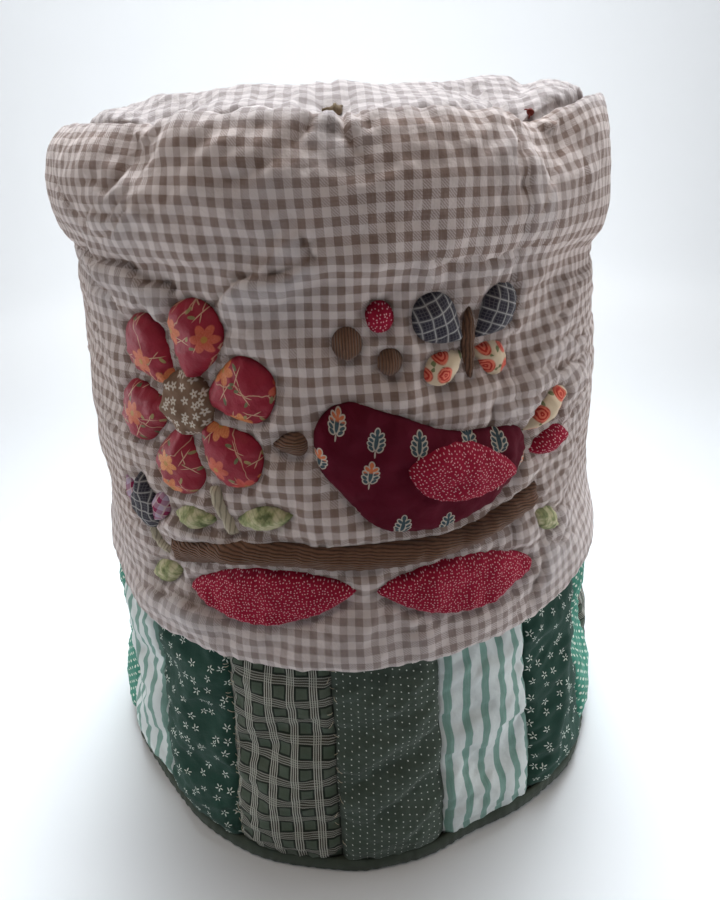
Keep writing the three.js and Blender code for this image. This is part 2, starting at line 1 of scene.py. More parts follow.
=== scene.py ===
# %% [markdown]
# # A quilted cover for a water jug
#
# The real cover is a tube of checked cotton over thick wadding, with a puffed roll at the top, a round
# padded crown that is tied down at eight places, a band of patchwork and a bound hem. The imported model
# gives each piece's plain solid. Here each solid is replaced by cloth: fine surfaces with folds, puckers
# and stitches, and a woven or printed finish on each.

# %% Load the frame
import math
from functools import reduce

import bpy
import numpy as np
from mathutils import Matrix, Vector
from mathutils.geometry import delaunay_2d_cdt


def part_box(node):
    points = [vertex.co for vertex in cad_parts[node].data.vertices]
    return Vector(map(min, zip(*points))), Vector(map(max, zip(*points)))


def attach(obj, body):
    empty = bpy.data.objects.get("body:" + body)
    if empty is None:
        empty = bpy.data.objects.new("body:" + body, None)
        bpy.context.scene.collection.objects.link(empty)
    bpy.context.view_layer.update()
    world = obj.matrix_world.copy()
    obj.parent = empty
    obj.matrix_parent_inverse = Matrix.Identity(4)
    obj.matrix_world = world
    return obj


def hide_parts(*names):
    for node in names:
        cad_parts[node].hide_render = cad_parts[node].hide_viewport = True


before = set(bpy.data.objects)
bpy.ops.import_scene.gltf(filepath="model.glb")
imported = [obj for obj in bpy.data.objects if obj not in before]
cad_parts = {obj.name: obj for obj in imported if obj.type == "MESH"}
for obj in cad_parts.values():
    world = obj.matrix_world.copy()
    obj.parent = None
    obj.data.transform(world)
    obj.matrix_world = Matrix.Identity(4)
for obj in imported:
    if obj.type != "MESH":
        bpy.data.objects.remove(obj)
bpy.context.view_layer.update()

mm = 0.001
crown_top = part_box("crown")[1].z / mm
hem_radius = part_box("hem_binding")[1].x / mm
print("cover:", round(2 * hem_radius), "mm across the hem and", round(crown_top), "mm high")

# %% [markdown]
# ## The camera
#
# The cover is seen from close by, a little above its rim, so it narrows towards the hem. A short lens at
# the right place gives that perspective, and no trick in the shape is needed. The camera looks down by
# its pitch, and it is held a little askew, which its roll gives.

# %% Camera
camera_data = bpy.data.cameras.new("camera")
camera_data.lens, camera_data.sensor_width = 24, 36
camera_data.clip_start, camera_data.clip_end = 0.01, 50
camera = bpy.data.objects.new("camera", camera_data)
bpy.context.scene.collection.objects.link(camera)
pitch, yaw, roll = math.radians(28.3), math.radians(1.25), math.radians(-2.69)
camera.matrix_world = (
    Matrix.Translation((0, -0.385, 0.3962))
    @ Matrix.Rotation(-yaw, 4, "Z")
    @ Matrix.Rotation(math.pi / 2 - pitch, 4, "X")
    @ Matrix.Rotation(roll, 4, "Z")
)
bpy.context.scene.camera = camera

# %% [markdown]
# ## Small tools for cloth
#
# Cloth is easiest to shape as a grid of points: its columns run round the cover and its rows run up it.
# A fold is a bell-shaped ridge or trough on that grid. Short tables with named columns hold the sizes, so
# a row can be read aloud, and numpy works on the whole grid at once.

# %% Tables, bells and turns
def table(names, *rows):
    """A short table with named columns, as one array for each column."""
    return {name: np.array(column, float) for name, column in zip(names.split(), zip(*rows))}


def rows_of(names, *rows):
    """The same kind of table, as one dictionary for each row."""
    return [dict(zip(names.split(), row)) for row in rows]


def bell(x):
    """A smooth hill: 1 at 0, a third at 1 and next to nothing past 2."""
    return np.exp(-x * x)


def turn(azimuth):
    """An azimuth brought between -180 and 180 degrees. 0 is the front, and it grows to the right."""
    return (azimuth + 180) % 360 - 180


def turned(x, y, degrees):
    """A place as it is seen from axes that are turned to the left by some degrees."""
    cos, sin = math.cos(math.radians(degrees)), math.sin(math.radians(degrees))
    return x * cos + y * sin, y * cos - x * sin


fold_reference = 160   # the radius at which distances round the wall and the band are told, in mm


def arc(azimuth, radius=fold_reference):
    """How many mm round a circle an azimuth lies to the right of the front line."""
    return np.radians(turn(azimuth)) * radius


def ease(x):
    """0 below 0, 1 above 1 and a soft step between."""
    x = np.clip(x, 0, 1)
    return x * x * (3 - 2 * x)


def smooth(values, place):
    """A table's column, or a grid's rows, at fractional rows on a smooth curve through the values."""
    padded = np.concatenate([[2 * values[0] - values[1]], values, [2 * values[-1] - values[-2]]])
    row = np.clip(np.floor(place).astype(int), 0, len(values) - 2)
    t = (place - row).reshape(place.shape + (1,) * (values.ndim - 1))
    a, b, c, d = (padded[row + step] for step in range(4))
    return b + t * (c - a + t * (2 * a - 5 * b + 4 * c - d + t * (3 * (b - c) + d - a))) / 2


def around(azimuth, radius, height):
    """Points at azimuths in degrees, radii and heights."""
    angle = np.radians(azimuth)
    return np.stack(np.broadcast_arrays(radius * np.sin(angle), -radius * np.cos(angle), height), -1)


def soft_noise(shape, cell, across, up, seed, tilt=0, spread=0.45):
    """Random waves over a grid, `across` mm long sideways and `up` mm long upwards, mostly from -1 to 1."""
    white = np.random.default_rng(seed).standard_normal(shape)
    rise = np.fft.fftfreq(shape[0], cell[0])[:, None]
    side = np.fft.fftfreq(shape[1], cell[1])[None]
    along, over = turned(side, rise, tilt)
    waves = np.hypot(along * across, over * up)
    field = np.fft.ifft2(np.fft.fft2(white) * np.exp(-(((waves - 1) / spread) ** 2))).real
    return field / (2 * field.std())


# %% Grids of points
def normals_of(points, closed=True):
    """Outward normals of a grid of points whose rows rise and whose columns run to the right."""
    if closed:
        side = np.roll(points, -1, 1) - np.roll(points, 1, 1)
    else:
        side = np.gradient(points, axis=1)
    normal = np.cross(side, np.gradient(points, axis=0))
    return normal / np.maximum(np.linalg.norm(normal, axis=-1, keepdims=True), 1e-9)


def pushed(points, amount, closed=True):
    """The grid moved out along its normals by `amount` mm."""
    return points + normals_of(points, closed) * amount[..., None]


def finer(points, factor, closed=True):
    """The grid with `factor` times as many cells each way, on smooth curves through its points."""
    def along_rows(grid):
        return smooth(grid, np.linspace(0, len(grid) - 1, (len(grid) - 1) * factor + 1))

    points = along_rows(points)
    columns = np.swapaxes(points, 0, 1)
    if not closed:
        return np.swapaxes(along_rows(columns), 0, 1)
    wrapped = np.concatenate([columns[-2:], columns, columns[:3]])
    columns = along_rows(wrapped)[2 * factor:(2 + len(columns)) * factor]
    return np.swapaxes(columns, 0, 1)


# %% Meshes from grids
def new_mesh(name, points, faces, uv, material):
    """A smooth mesh object from points in mm, faces, and one pair of cloth coordinates a face corner."""
    mesh = bpy.data.meshes.new(name)
    mesh.from_pydata(np.asarray(points) * mm, [], faces if isinstance(faces, list) else faces.tolist())
    layer = mesh.uv_layers.new(name="cloth")
    layer.uv.foreach_set("vector", np.asarray(uv, np.float32).ravel())
    mesh.polygons.foreach_set("use_smooth", np.ones(len(mesh.polygons), bool))
    mesh.materials.append(material)
    piece = bpy.data.objects.new(name, mesh)
    bpy.context.scene.collection.objects.link(piece)
    return piece


def grid_faces(rows, columns, closed_rows=False, closed_columns=False):
    """Quads of a grid, as point numbers, with the row and column of each corner before any wrap."""
    row, column = np.meshgrid(
        np.arange(rows - (not closed_rows)), np.arange(columns - (not closed_columns)), indexing="ij")
    corner_rows = np.stack([row, row, row + 1, row + 1], -1).reshape(-1, 4)
    corner_columns = np.stack([column, column + 1, column + 1, column], -1).reshape(-1, 4)
    return (corner_rows % rows) * columns + corner_columns % columns, corner_rows, corner_columns


def closed_slab(name, front, back, uv, material):
    """A padded sheet between two open grids of one size, front and back, closed along its edges."""
    rows, columns = front.shape[:2]
    faces, _, _ = grid_faces(rows, columns)
    behind = rows * columns
    rim = np.concatenate([
        np.arange(columns - 1), np.arange(rows - 1) * columns + columns - 1,
        behind - 1 - np.arange(columns - 1), (rows - 1 - np.arange(rows - 1)) * columns])
    after = np.roll(rim, -1)
    sides = np.stack([rim, rim + behind, after + behind, after], -1)
    all_faces = np.concatenate([faces, faces[:, ::-1] + behind, sides])
    points = np.concatenate([front.reshape(-1, 3), back.reshape(-1, 3)])
    flat_uv = np.concatenate([uv.reshape(-1, 2)] * 2)
    return new_mesh(name, points, all_faces, flat_uv[all_faces.ravel()], material)


def paint(piece, name, values):
    """Paints a number on each point of a mesh, for its finish to read; points past the values get 0."""
    numbers = np.zeros(len(piece.data.vertices), np.float32)
    numbers[:values.size] = values.ravel()
    piece.data.attributes.new(name, "FLOAT", "POINT").data.foreach_set("value", numbers)


def finish_padded(piece, fill, slot, *nodes):
    """Sets what a padded piece rides on, the root, and hides the solids that it stands for; its fill and its
    slot are not used.
    """
    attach(piece, "root")
    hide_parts(*nodes)

# %% [markdown]
# ## Shader maths as Python
#
# A weave is arithmetic: a thread is a wave, a check is two stripes added together. In Blender that is a
# long chain of Math nodes, which is hard to read. The small class below wraps a socket, so `1 - mask * 0.5`
# adds the nodes by itself. Colours go through Mix nodes, and one method makes every other node.

# %% A socket that understands operators
class Signal:
    """A number that changes over a surface. Python's operators add the Math nodes."""

    def __init__(self, finish, socket):
        self.finish, self.socket = finish, socket

    def math(self, operation, *others, clamp=False):
        values = [self, *others]
        settings = {"operation": operation, "use_clamp": clamp}
        return self.finish.node("ShaderNodeMath", settings, dict(enumerate(values)))["Value"]

    def __add__(self, other):
        return self.math("ADD", other)

    def __sub__(self, other):
        return self.math("SUBTRACT", other)

    def __rsub__(self, other):
        return (self * -1.0) + other

    def __mul__(self, other):
        return self.math("MULTIPLY", other)

    def __abs__(self):
        return self.math("ABSOLUTE")

    __radd__, __rmul__ = __add__, __mul__

    def fract(self):
        return self.math("FRACT")

    def sine(self):
        return self.math("SINE")

    def clamped(self):
        return self.math("ADD", 0.0, clamp=True)

    def larger(self, other):
        return self.math("MAXIMUM", other)

    def power(self, other):
        return self.math("POWER", other)


# %% A finish, which is a material being made
class Finish:
    """A material with one Principled shader, built up from cloth coordinates in mm."""

    def __init__(self, name):
        self.material = bpy.data.materials.new(name)
        self.material.use_nodes = True
        self.tree = self.material.node_tree
        self.tree.nodes.clear()
        self.shader = self.tree.nodes.new("ShaderNodeBsdfPrincipled")
        output = self.tree.nodes.new("ShaderNodeOutputMaterial")
        self.tree.links.new(self.shader.outputs["BSDF"], output.inputs["Surface"])
        cloth = self.node("ShaderNodeUVMap", {"uv_map": "cloth"})["UV"]
        across, up, _ = self.split(cloth)
        self.across, self.up = across * 1000.0, up * 1000.0

    def node(self, kind, settings=None, sockets=None):
        """Any node: its settings are set first, then its sockets' values or links. Returns its outputs."""
        made = self.tree.nodes.new(kind)
        for name, value in (settings or {}).items():
            if name == "stops":
                self.set_stops(made.color_ramp, value)
            else:
                setattr(made, name, value)
        for name, value in (sockets or {}).items():
            self.plug(made.inputs[name], value)
        return {output.name: Signal(self, output) for output in made.outputs if output.enabled}

    def plug(self, socket, value):
        if isinstance(value, Signal):
            self.tree.links.new(value.socket, socket)
        else:
            socket.default_value = value

    def set_stops(self, ramp, stops):
        for index, (place, color) in enumerate(stops):
            stop = ramp.elements[index] if index < 2 else ramp.elements.new(place)
            stop.position, stop.color = place, (*color, 1)

    def split(self, vector):
        parts = self.node("ShaderNodeSeparateXYZ", None, {"Vector": vector})
        return parts["X"], parts["Y"], parts["Z"]

    def vector(self, x, y):
        return self.node("ShaderNodeCombineXYZ", None, {"X": x, "Y": y})["Vector"]

    def mix(self, share, one, other):
        """A colour between two colours, by a share."""
        colors = [(*c, 1) if isinstance(c, tuple) else c for c in (one, other)]
        made = self.tree.nodes.new("ShaderNodeMix")
        made.data_type = "RGBA"
        share_socket, color_sockets, color_output = 0, (6, 7), 2
        for index, value in zip((share_socket, *color_sockets), (share, *colors)):
            self.plug(made.inputs[index], value)
        return Signal(self, made.outputs[color_output])

    def noise(self, x, y, size, detail=2.0, roughness=0.5):
        """Soft random patches about `size` mm wide, from 0 to 1."""
        place = self.vector(x * (1 / size), y * (1 / size))
        sockets = {"Vector": place, "Scale": 1.0, "Detail": detail, "Roughness": roughness}
        return self.node("ShaderNodeTexNoise", {"noise_dimensions": "2D"}, sockets)["Fac"]

    def mottled(self, size, detail, one, other):
        """A ground that wanders between two colours in soft patches."""
        return self.mix(self.noise(self.across, self.up, size, detail), one, other)

    def band(self, x, period, share, edge=0.04, shift=0.0):
        """1 on a stripe that takes `share` of each period, with a soft edge, and 0 beside it."""
        place = abs((x * (1 / period) + shift).fract() - 0.5)
        return ((share / 2 - place) * (1 / edge) + 0.5).clamped()

    def crossed(self, across, rise, share, edge, shift=0.0):
        """Stripes both ways: upright ones every `across` mm and level ones every `rise` mm."""
        upright = self.band(self.across, across, share, edge, shift)
        return upright.larger(self.band(self.up, rise, share, edge, shift))

    def oval(self, x, y, center, size, angle=0.0, edge=0.25):
        """1 inside an oval whose half length and half width are `size`, in mm."""
        along, over = turned(x - center[0], y - center[1], angle)
        along, over = along * (1 / size[0]), over * (1 / size[1])
        return ((1 - (along * along + over * over)) * (1 / edge)).clamped()

    def ovals(self, x, y, rows, edge=0.4):
        """1 inside any of some ovals, each given as its middle, its size and its angle."""
        return reduce(Signal.larger, [self.oval(x, y, *row, edge) for row in rows])

    def painted(self, name):
        """A number painted on the mesh's points, or 0 where the mesh has none of that name."""
        return self.node("ShaderNodeAttribute", {"attribute_name": name})["Fac"]

    def scattered(self, spacing, jitter=0.9, spin=True, shift=0.0):
        """The nearest of many scattered motifs: the place in mm from its middle, and three random numbers."""
        place = self.vector(self.across * (1 / spacing) + shift, self.up * (1 / spacing) + shift)
        sockets = {"Vector": place, "Scale": 1.0, "Randomness": jitter}
        cell = self.node("ShaderNodeTexVoronoi", {"voronoi_dimensions": "2D"}, sockets)
        offset = self.node("ShaderNodeVectorMath", {"operation": "SUBTRACT"}, {0: place, 1: cell["Position"]})
        x, y, _ = self.split(offset["Vector"])
        first, second, third = self.split(cell["Color"])
        x, y = x * spacing, y * spacing
        if spin:
            angle = first * (2 * math.pi)
            cos, sin = angle.math("COSINE"), angle.math("SINE")
            x, y = x * cos + y * sin, y * cos - x * sin
        return x, y, (first, second, third)

    def weave(self, thread=0.42, depth=0.5, slub=0.25):
        """Height of a plain weave: threads over and under each other, some thicker than others."""
        warp = (self.across * (math.pi / thread)).sine()
        weft = (self.up * (math.pi / thread)).sine()
        slubs = self.noise(self.across * 0.12, self.up, 1.1, 1.0)
        slubs = slubs + self.noise(self.across, self.up * 0.12, 1.1, 1.0)
        return (abs(warp) + abs(weft)) * (depth / 2) + slubs * slub

    def finish(self, color, height, depth=0.12, roughness=0.9, shine=0.12, sheen=0.06, crumple=0.35,
               crumple_size=5.0):
        """Connects the colour and the bump, with fine crumples besides the weave, and sets the sheen."""
        wrinkles = self.noise(self.across, self.up, crumple_size, 3.0, 0.55)
        relief = height * depth + wrinkles * crumple
        sockets = {"Strength": 1.0, "Distance": mm, "Height": relief}
        bump = self.node("ShaderNodeBump", None, sockets)["Normal"]
        self.plug(self.shader.inputs["Base Color"], color)
        self.plug(self.shader.inputs["Normal"], bump)
        self.plug(self.shader.inputs["Roughness"], roughness)
        self.shader.inputs["Sheen Weight"].default_value = sheen
        self.shader.inputs["Sheen Roughness"].default_value = 0.5
        self.shader.inputs["Specular IOR Level"].default_value = shine
        return self.material

# %% [markdown]
# ## The line of the padded wall
#
# On the real cover one piece of checked cotton runs from the patchwork up over the roll to the seam of
# the crown. Its line is a short table that goes up the outside. Eight ties pull the roll down and in, and
# between them it stands up in lobes, so the last columns of the table say how far each row follows them.

# %% The wall's line, its ties and its folds
tie_radius, tie_height = 129.5, 400.5
crease_height, crease_reach, crease_climb = 343, 26, 6   # under the roll, higher on the left
band_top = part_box("gingham_wall")[0].z / mm

wall_outside = table(
    "radius height sink lift draw spread",
    (165.2, band_top + 0.6, 0, 0, 0, 0),
    (169.2, band_top - 0.2, 0, 0, 0, 0),
    (171.0, band_top + 5, 0, 0, 0, 0),
    (169.0, 166, 0, 0, 0, 0),
    (163.8, 186, 0, 0, 0, 0),
    (161.4, 204, 0, 0, 0, 0),
    (160.2, 220, 0, 0, 0, 0),
    (158.9, 236, 0, 0, 0, 0),
    (157.9, 252, 0, 0, 0, 0),
    (156.4, 268, 0, 0, 0, 0),
    (154.2, 284, 0, 0, 0, 0),
    (151.8, 300, 0, 0, 0, 0),
    (150.3, 316, 0, 0, 0, 0),
    (148.8, 330, 0, 0, 0, 0),
    (146.6, 343, 0, 0, 0, 0),
    (150.4, 352, 0, 0, 0.1, 0),
    (151.9, 363, 0, 0.05, 0.2, 0),
    (151.3, 375, 0.1, 0.15, 0.5, 0),
    (149.0, 386, 0.25, 0.4, 0.9, 0.1),
    (144.6, 396, 0.6, 0.8, 1.0, 0.3),
    (138.0, 402.5, 1.0, 1.0, 0.7, 0.8),
    (132.6, 401.5, 1.0, 0.9, 0.2, 1.0),
    (129.4, 396.5, 0.9, 0.6, 0, 1.0),
)
wall_inside = table(
    "radius height",
    (129.5, 391), (137.8, 384), (138.8, 340), (145.4, 284), (151.6, 216), (158.2, band_top + 0.4),
)
ties = rows_of(
    "azimuth sink reach draw lobe swell spread",
    (-176, 4.0, 9.5, 4.0, 2.5, 4.0, 1),
    (-131, 5.0, 9.5, 4.5, 2.2, 4.0, 1),
    (-86, 4.0, 9.5, 4.0, -0.5, 3.0, 1),
    (-33, 3.0, 6.0, 4.5, 1.2, 2.6, 1),
    (1, 2.6, 4.5, 2.5, -1.6, 2.6, 1),
    (40, 7.5, 10.0, 5.0, 2.8, 5.0, 7),
    (91, 5.0, 9.5, 4.5, 3.0, 4.5, 1),
    (137, 4.5, 9.5, 4.0, 2.0, 4.0, 1),
)
wall_folds = rows_of(
    "azimuth height out along across tilt",
    (-48, 354, -2.6, 44, 8, 0),
    (-42, 338, 4.4, 32, 8, -10),
    (-22, 333, 1.6, 20, 8, 20),
    (48, 343, -1.4, 52, 9, -4),
    (6, 344, 2.8, 40, 12, 0),
    (-12, 343, 5.0, 22, 7, 6),
    (-12, 358, -1.8, 26, 7, 6),
    (-17, 316, 2.2, 18, 6, 0),
    (-26, 236, 1.4, 34, 8, -4),
    (-26, 219, 3.2, 34, 7, -4),
    (-34, 190, -1.8, 34, 7, 9),
    (-34, 172, 3.8, 38, 7, 6),
    (44, 292, -1.6, 40, 7, -11),
    (44, 279, 3.2, 36, 6, -9),
    (30, 336, 2.6, 34, 7, 4),
    (-62, 320, -2.2, 30, 20, 0),
    (-62, 272, 2.0, 28, 18, 0),
    (66, 322, 1.2, 30, 20, 0),
    (60, 208, -4.8, 30, 20, 0),
    (60, 162, 1.4, 34, 20, 0),
    (-62, 168, -5.4, 30, 18, 0),
    (-66, 202, -2.6, 26, 9, 0),
    (-66, 240, 2.2, 26, 12, 0),
    (-64, 384, 0.4, 30, 18, 0),
    (64, 388, -1.2, 34, 18, 0),
    (62, 352, 1.6, 30, 10, 0),
    (38, 318, -1.8, 34, 9, 38),
    (44, 262, 1.6, 32, 10, 24),
    (24, 176, 1.4, 30, 10, 0),
    (-4, 168, 2.0, 20, 12, 0),
    (96, 345, -2.8, 40, 9, 3),
    (112, 250, -2.6, 44, 12, -14),
    (104, 226, 2.0, 38, 11, -14),
    (150, 304, 2.2, 40, 12, 16),
    (148, 202, -2.6, 42, 11, 6),
    (178, 348, -2.4, 50, 9, 0),
    (-168, 262, -2.2, 46, 12, -18),
    (-136, 222, 2.4, 40, 12, 10),
    (-122, 326, 2.0, 36, 12, -10),
    (-104, 346, -3.0, 44, 9, 0),
    (-98, 196, -2.4, 40, 11, 8),
    (-150, 166, 2.4, 44, 12, 0),
    (128, 164, 2.2, 40, 12, 0),
)


def folds_at(folds, azimuth, height):
    """How far the folds of a table move the cloth out at azimuths and heights."""
    out = 0
    for fold in folds:
        along, across = turned(arc(azimuth - fold["azimuth"]), height - fold["height"], fold["tilt"])
        out = out + fold["out"] * bell(along / fold["along"]) * bell(across / fold["across"])
    return out


def rim_at(azimuth):
    """How hard the ties pull at azimuths, and how far the roll and the crown stand up between them."""
    rim = {name: np.zeros_like(azimuth, float) for name in ("sink", "draw", "lobe", "swell", "spread")}
    for tie, after in zip(ties, ties[1:] + ties[:1]):
        pull = bell(turn(azimuth - tie["azimuth"]) / tie["reach"])
        share = (azimuth - tie["azimuth"]) % 360 / ((after["azimuth"] - tie["azimuth"]) % 360)
        arch = np.where(share < 1, np.sin(np.pi * np.clip(share, 0, 1)), 0)
        for name in rim:
            rim[name] += tie[name] * (pull if name in ("sink", "draw") else arch)
    return rim


# %% The wall as a grid
def wall_grid(azimuth, row):
    """Points of the wall's outer face at azimuths and at fractional rows of its table."""
    line = {key: smooth(values, row[:, None]) for key, values in wall_outside.items()}
    rim = rim_at(azimuth)
    crease = bell((line["height"] - crease_height) / crease_reach)
    crease = -crease_climb * np.sin(np.radians(azimuth)) * crease
    cloth = folds_at(wall_folds, azimuth, line["height"]) * ease((line["radius"] - tie_radius) / 8)
    radius = line["radius"] + cloth - rim["draw"] * line["draw"] + rim["spread"] * line["spread"]
    height = line["height"] + crease - rim["sink"] * line["sink"] + rim["lobe"] * line["lift"]
    return around(azimuth, radius, height)


def even_rows(line, count):
    """Fractional rows of a table that lie evenly along its line, and the line's length up to each."""
    place = np.linspace(0, len(line["radius"]) - 1, 2000)
    step = np.hypot(np.diff(smooth(line["radius"], place)), np.diff(smooth(line["height"], place)))
    length = np.concatenate([[0], np.cumsum(step)])
    lengths = np.linspace(0, length[-1], count)
    return np.interp(lengths, length, place), lengths

# %% [markdown]
# ## Where the applique lies
#
# The cut pieces on the front are sewn down along their outlines, and each stitch line pulls the wadding
# in. So the outlines come before the wall's surface: the wall needs to know how far every point of it is
# from the nearest stitch. An outline is a leaf, a disc, a strip or a smooth body, in mm to the right of the
# front line and up, so that few numbers give each one.

# %% Outlines
def leaf(s, z, angle, length, width, belly=0.5, blunt=0.8):
    """A leaf, petal, wing or feather that grows from its root and is widest at `belly` of its length."""
    share = np.concatenate([np.linspace(0, 1, 40), np.linspace(1, 0, 40)[1:-1]])
    side = np.concatenate([-np.ones(40), np.ones(38)])
    across = side * width / 2 * np.sin(np.pi * share ** (math.log(0.5) / math.log(belly))) ** blunt
    cos, sin = math.cos(math.radians(angle)), math.sin(math.radians(angle))
    return np.stack([s + share * length * cos - across * sin, z + share * length * sin + across * cos], -1)


def disc(s, z, radius):
    """A round outline."""
    angle = np.linspace(0, 2 * np.pi, 40, endpoint=False)
    return np.stack([s + radius * np.cos(angle), z + radius * np.sin(angle)], -1)


def strip(line, width):
    """A strip of even width along a smooth line, from one end to the other."""
    line = np.array(line, float)
    place = np.linspace(0, len(line) - 1, 50)
    middle = np.stack([smooth(line[:, 0], place), smooth(line[:, 1], place)], -1)
    ahead = np.gradient(middle, axis=0)
    ahead /= np.linalg.norm(ahead, axis=1, keepdims=True)
    beside = np.stack([ahead[:, 1], -ahead[:, 0]], -1) * width / 2
    return np.concatenate([middle + beside, (middle - beside)[::-1]])


def body(points):
    """A smooth closed outline through a few points."""
    points = np.array(points, float)
    wrapped = np.concatenate([points[-2:], points, points[:3]])
    place = np.linspace(2, len(points) + 2, 90, endpoint=False)
    return np.stack([smooth(wrapped[:, 0], place), smooth(wrapped[:, 1], place)], -1)


def even_outline(points, step=1.3):
    """The outline with its points at an even distance."""
    ring = np.concatenate([points, points[:1]])
    length = np.concatenate([[0], np.cumsum(np.linalg.norm(np.diff(ring, axis=0), axis=1))])
    count = max(12, round(length[-1] / step))
    place = np.linspace(0, length[-1], count, endpoint=False)
    return np.stack([np.interp(place, length, ring[:, 0]), np.interp(place, length, ring[:, 1])], -1)


# %% The applique's pieces
flower_s, flower_z, petal_root, petal_count, first_petal = -78, 290, 8, 6, 15
bird_outline = [(-15, 268), (-7, 254), (18, 229), (64, 230), (90, 250), (88, 268), (49, 275), (20, 287),
                (0, 293), (-14, 284)]
applique = []


def cut(name, slot, outline, level=1, grain=0):
    """Adds one cut piece. Level 1 lies on the wall and level 2 on other pieces; grain is in degrees."""
    outline = even_outline(outline)
    applique.append({"name": name, "slot": slot, "outline": outline, "level": level, "grain": grain})


for index in range(petal_count):
    angle = first_petal + 360 * index / petal_count
    root_s = flower_s + petal_root * math.cos(math.radians(angle))
    root_z = flower_z + petal_root * math.sin(math.radians(angle))
    petal = leaf(root_s, root_z, angle, 40, 30, 0.66, 0.6)
    cut(f"flower_petal_{index + 1}", "burgundy_floral", petal, 1, angle)
cut("flower_centre", "brown_lace_print", disc(flower_s, flower_z, 15), 2)
cut("flower_stem", "ecru_ticking", strip([(-67.5, 251), (-65, 240), (-59, 226)], 6.5))
cut("branch", "brown_corduroy",
    strip([(-100, 206), (-50, 217.5), (0, 216), (50, 216.5), (104, 227)], 13.5), 1, 84)
cut("base_leaf_left", "red_pebble", leaf(0, 198.5, 187, 92, 31, 0.5, 0.7), 1, 8)
cut("base_leaf_right", "red_pebble", leaf(9, 196.5, -6, 92, 31, 0.5, 0.7), 1, -5)
cut("bird_body", "dark_sprig", body(bird_outline), 1, -10)
cut("bird_wing", "red_pebble", leaf(26, 262, -12, 58, 29, 0.4, 0.75), 2, 30)
cut("bird_beak", "brown_corduroy", leaf(-18, 276, 186, 18, 12, 0.3, 0.9), 1, 90)
cut("bird_tail_upper", "coral_rose", leaf(92.5, 264, 26, 33, 16, 0.6, 0.6), 1, 26)
cut("bird_tail_lower", "red_pebble", leaf(94, 253.5, 2, 31, 14, 0.6, 0.6))
cut("leaf_1", "leaf_batik", leaf(-57, 234, 12, 30, 13), 1, 12)
cut("leaf_2", "leaf_batik", leaf(-67, 233.5, 187, 28, 12), 1, 7)
cut("leaf_3", "leaf_batik", leaf(104, 214, -38, 28, 13), 1, -38)
cut("leaf_4", "leaf_batik", leaf(-97, 195, 206, 28, 13), 1, 26)
cut("tulip_stem", "ecru_ticking", strip([(-116, 216), (-113, 207), (-104.5, 203)], 5.5))
cut("tulip_left", "lilac_check", leaf(-120.5, 219, 124, 25, 12, 0.6), 1, 34)
cut("tulip_right", "lilac_check", leaf(-112, 219, 60, 24, 12, 0.6), 1, -30)
cut("tulip_middle", "navy_check", leaf(-116, 214, 92, 33, 20, 0.45, 0.65), 2, 2)
cut("wing_upper_left", "navy_check", leaf(57, 314, 142, 30, 21, 0.62, 0.6), 1, 20)
cut("wing_upper_right", "navy_check", leaf(63, 314, 38, 30, 21, 0.62, 0.6), 1, -20)
cut("wing_lower_left", "coral_rose", leaf(57, 309, 206, 22, 15, 0.6, 0.6))
cut("wing_lower_right", "coral_rose", leaf(63, 309, -26, 22, 15, 0.6, 0.6))
cut("butterfly_body", "brown_corduroy", leaf(60, 297, 90, 31, 7.5, 0.5, 0.5), 2)
cut("berry_1", "brown_corduroy", disc(2, 318, 7))
cut("berry_2", "red_pebble", disc(17, 328, 6.5))
cut("berry_3", "brown_corduroy", disc(21, 309, 6))
print("applique:", len(applique), "cut pieces")


# %% How far a point is from a stitch line
def from_outline(points, outline):
    """For each point: its distance from the outline, less than 0 inside, and the nearest place along it."""
    start = outline
    side = np.roll(outline, -1, 0) - start
    length = np.linalg.norm(side, axis=1)
    passed = np.concatenate([[0], np.cumsum(length)[:-1]])
    away = points[:, None] - start
    share = np.clip((away * side).sum(-1) / length ** 2, 0, 1)
    gap = np.linalg.norm(away - share[..., None] * side, axis=-1)
    near = gap.argmin(1)
    pick = np.arange(len(points))
    above = (start[:, 1] > points[:, None, 1]) != (np.roll(start[:, 1], -1) > points[:, None, 1])
    climb = np.where(side[:, 1] == 0, 1, side[:, 1])
    crossing = start[:, 0] + (points[:, None, 1] - start[:, 1]) / climb * side[:, 0]
    inside = (above & (points[:, None, 0] < crossing)).sum(1) % 2 == 1
    return np.where(inside, -1, 1) * gap[pick, near], passed[near] + share[pick, near] * length[near]


def stitch_map(azimuth, height):
    """For the points of a grid: the distance from the nearest stitch line, and the place along that line."""
    far, reach, stagger = 99.0, 14, 37   # the stagger keeps two pieces' puckers from falling into step
    away, along = np.full(height.shape, far), np.zeros(height.shape)
    side = arc(azimuth) * np.ones_like(height)
    for index, piece in enumerate(applique):
        low, high = piece["outline"].min(0) - reach, piece["outline"].max(0) + reach
        near = (side > low[0]) & (side < high[0]) & (height > low[1]) & (height < high[1])
        distance, place = from_outline(np.stack([side[near], height[near]], -1), piece["outline"])
        closer = distance < away[near]
        away[near] = np.where(closer, distance, away[near])
        along[near] = np.where(closer, place + stagger * index, along[near])
    return away, along

# %% [markdown]
# ## Letting the cloth crumple
#
# A quilted cover never lies smooth. The cotton is a little larger than the wadding that it covers and it
# is held only at its seams, so it buckles into soft puckers between them. Cloth simulation does just
# that: the grid becomes cloth that is told to grow by a few percent, held hard at its stitches and
# softly everywhere else, and after a few steps its puckers are read back into the grid. The slow part of
# the movement is taken out again, so that the cover keeps its size and shape.

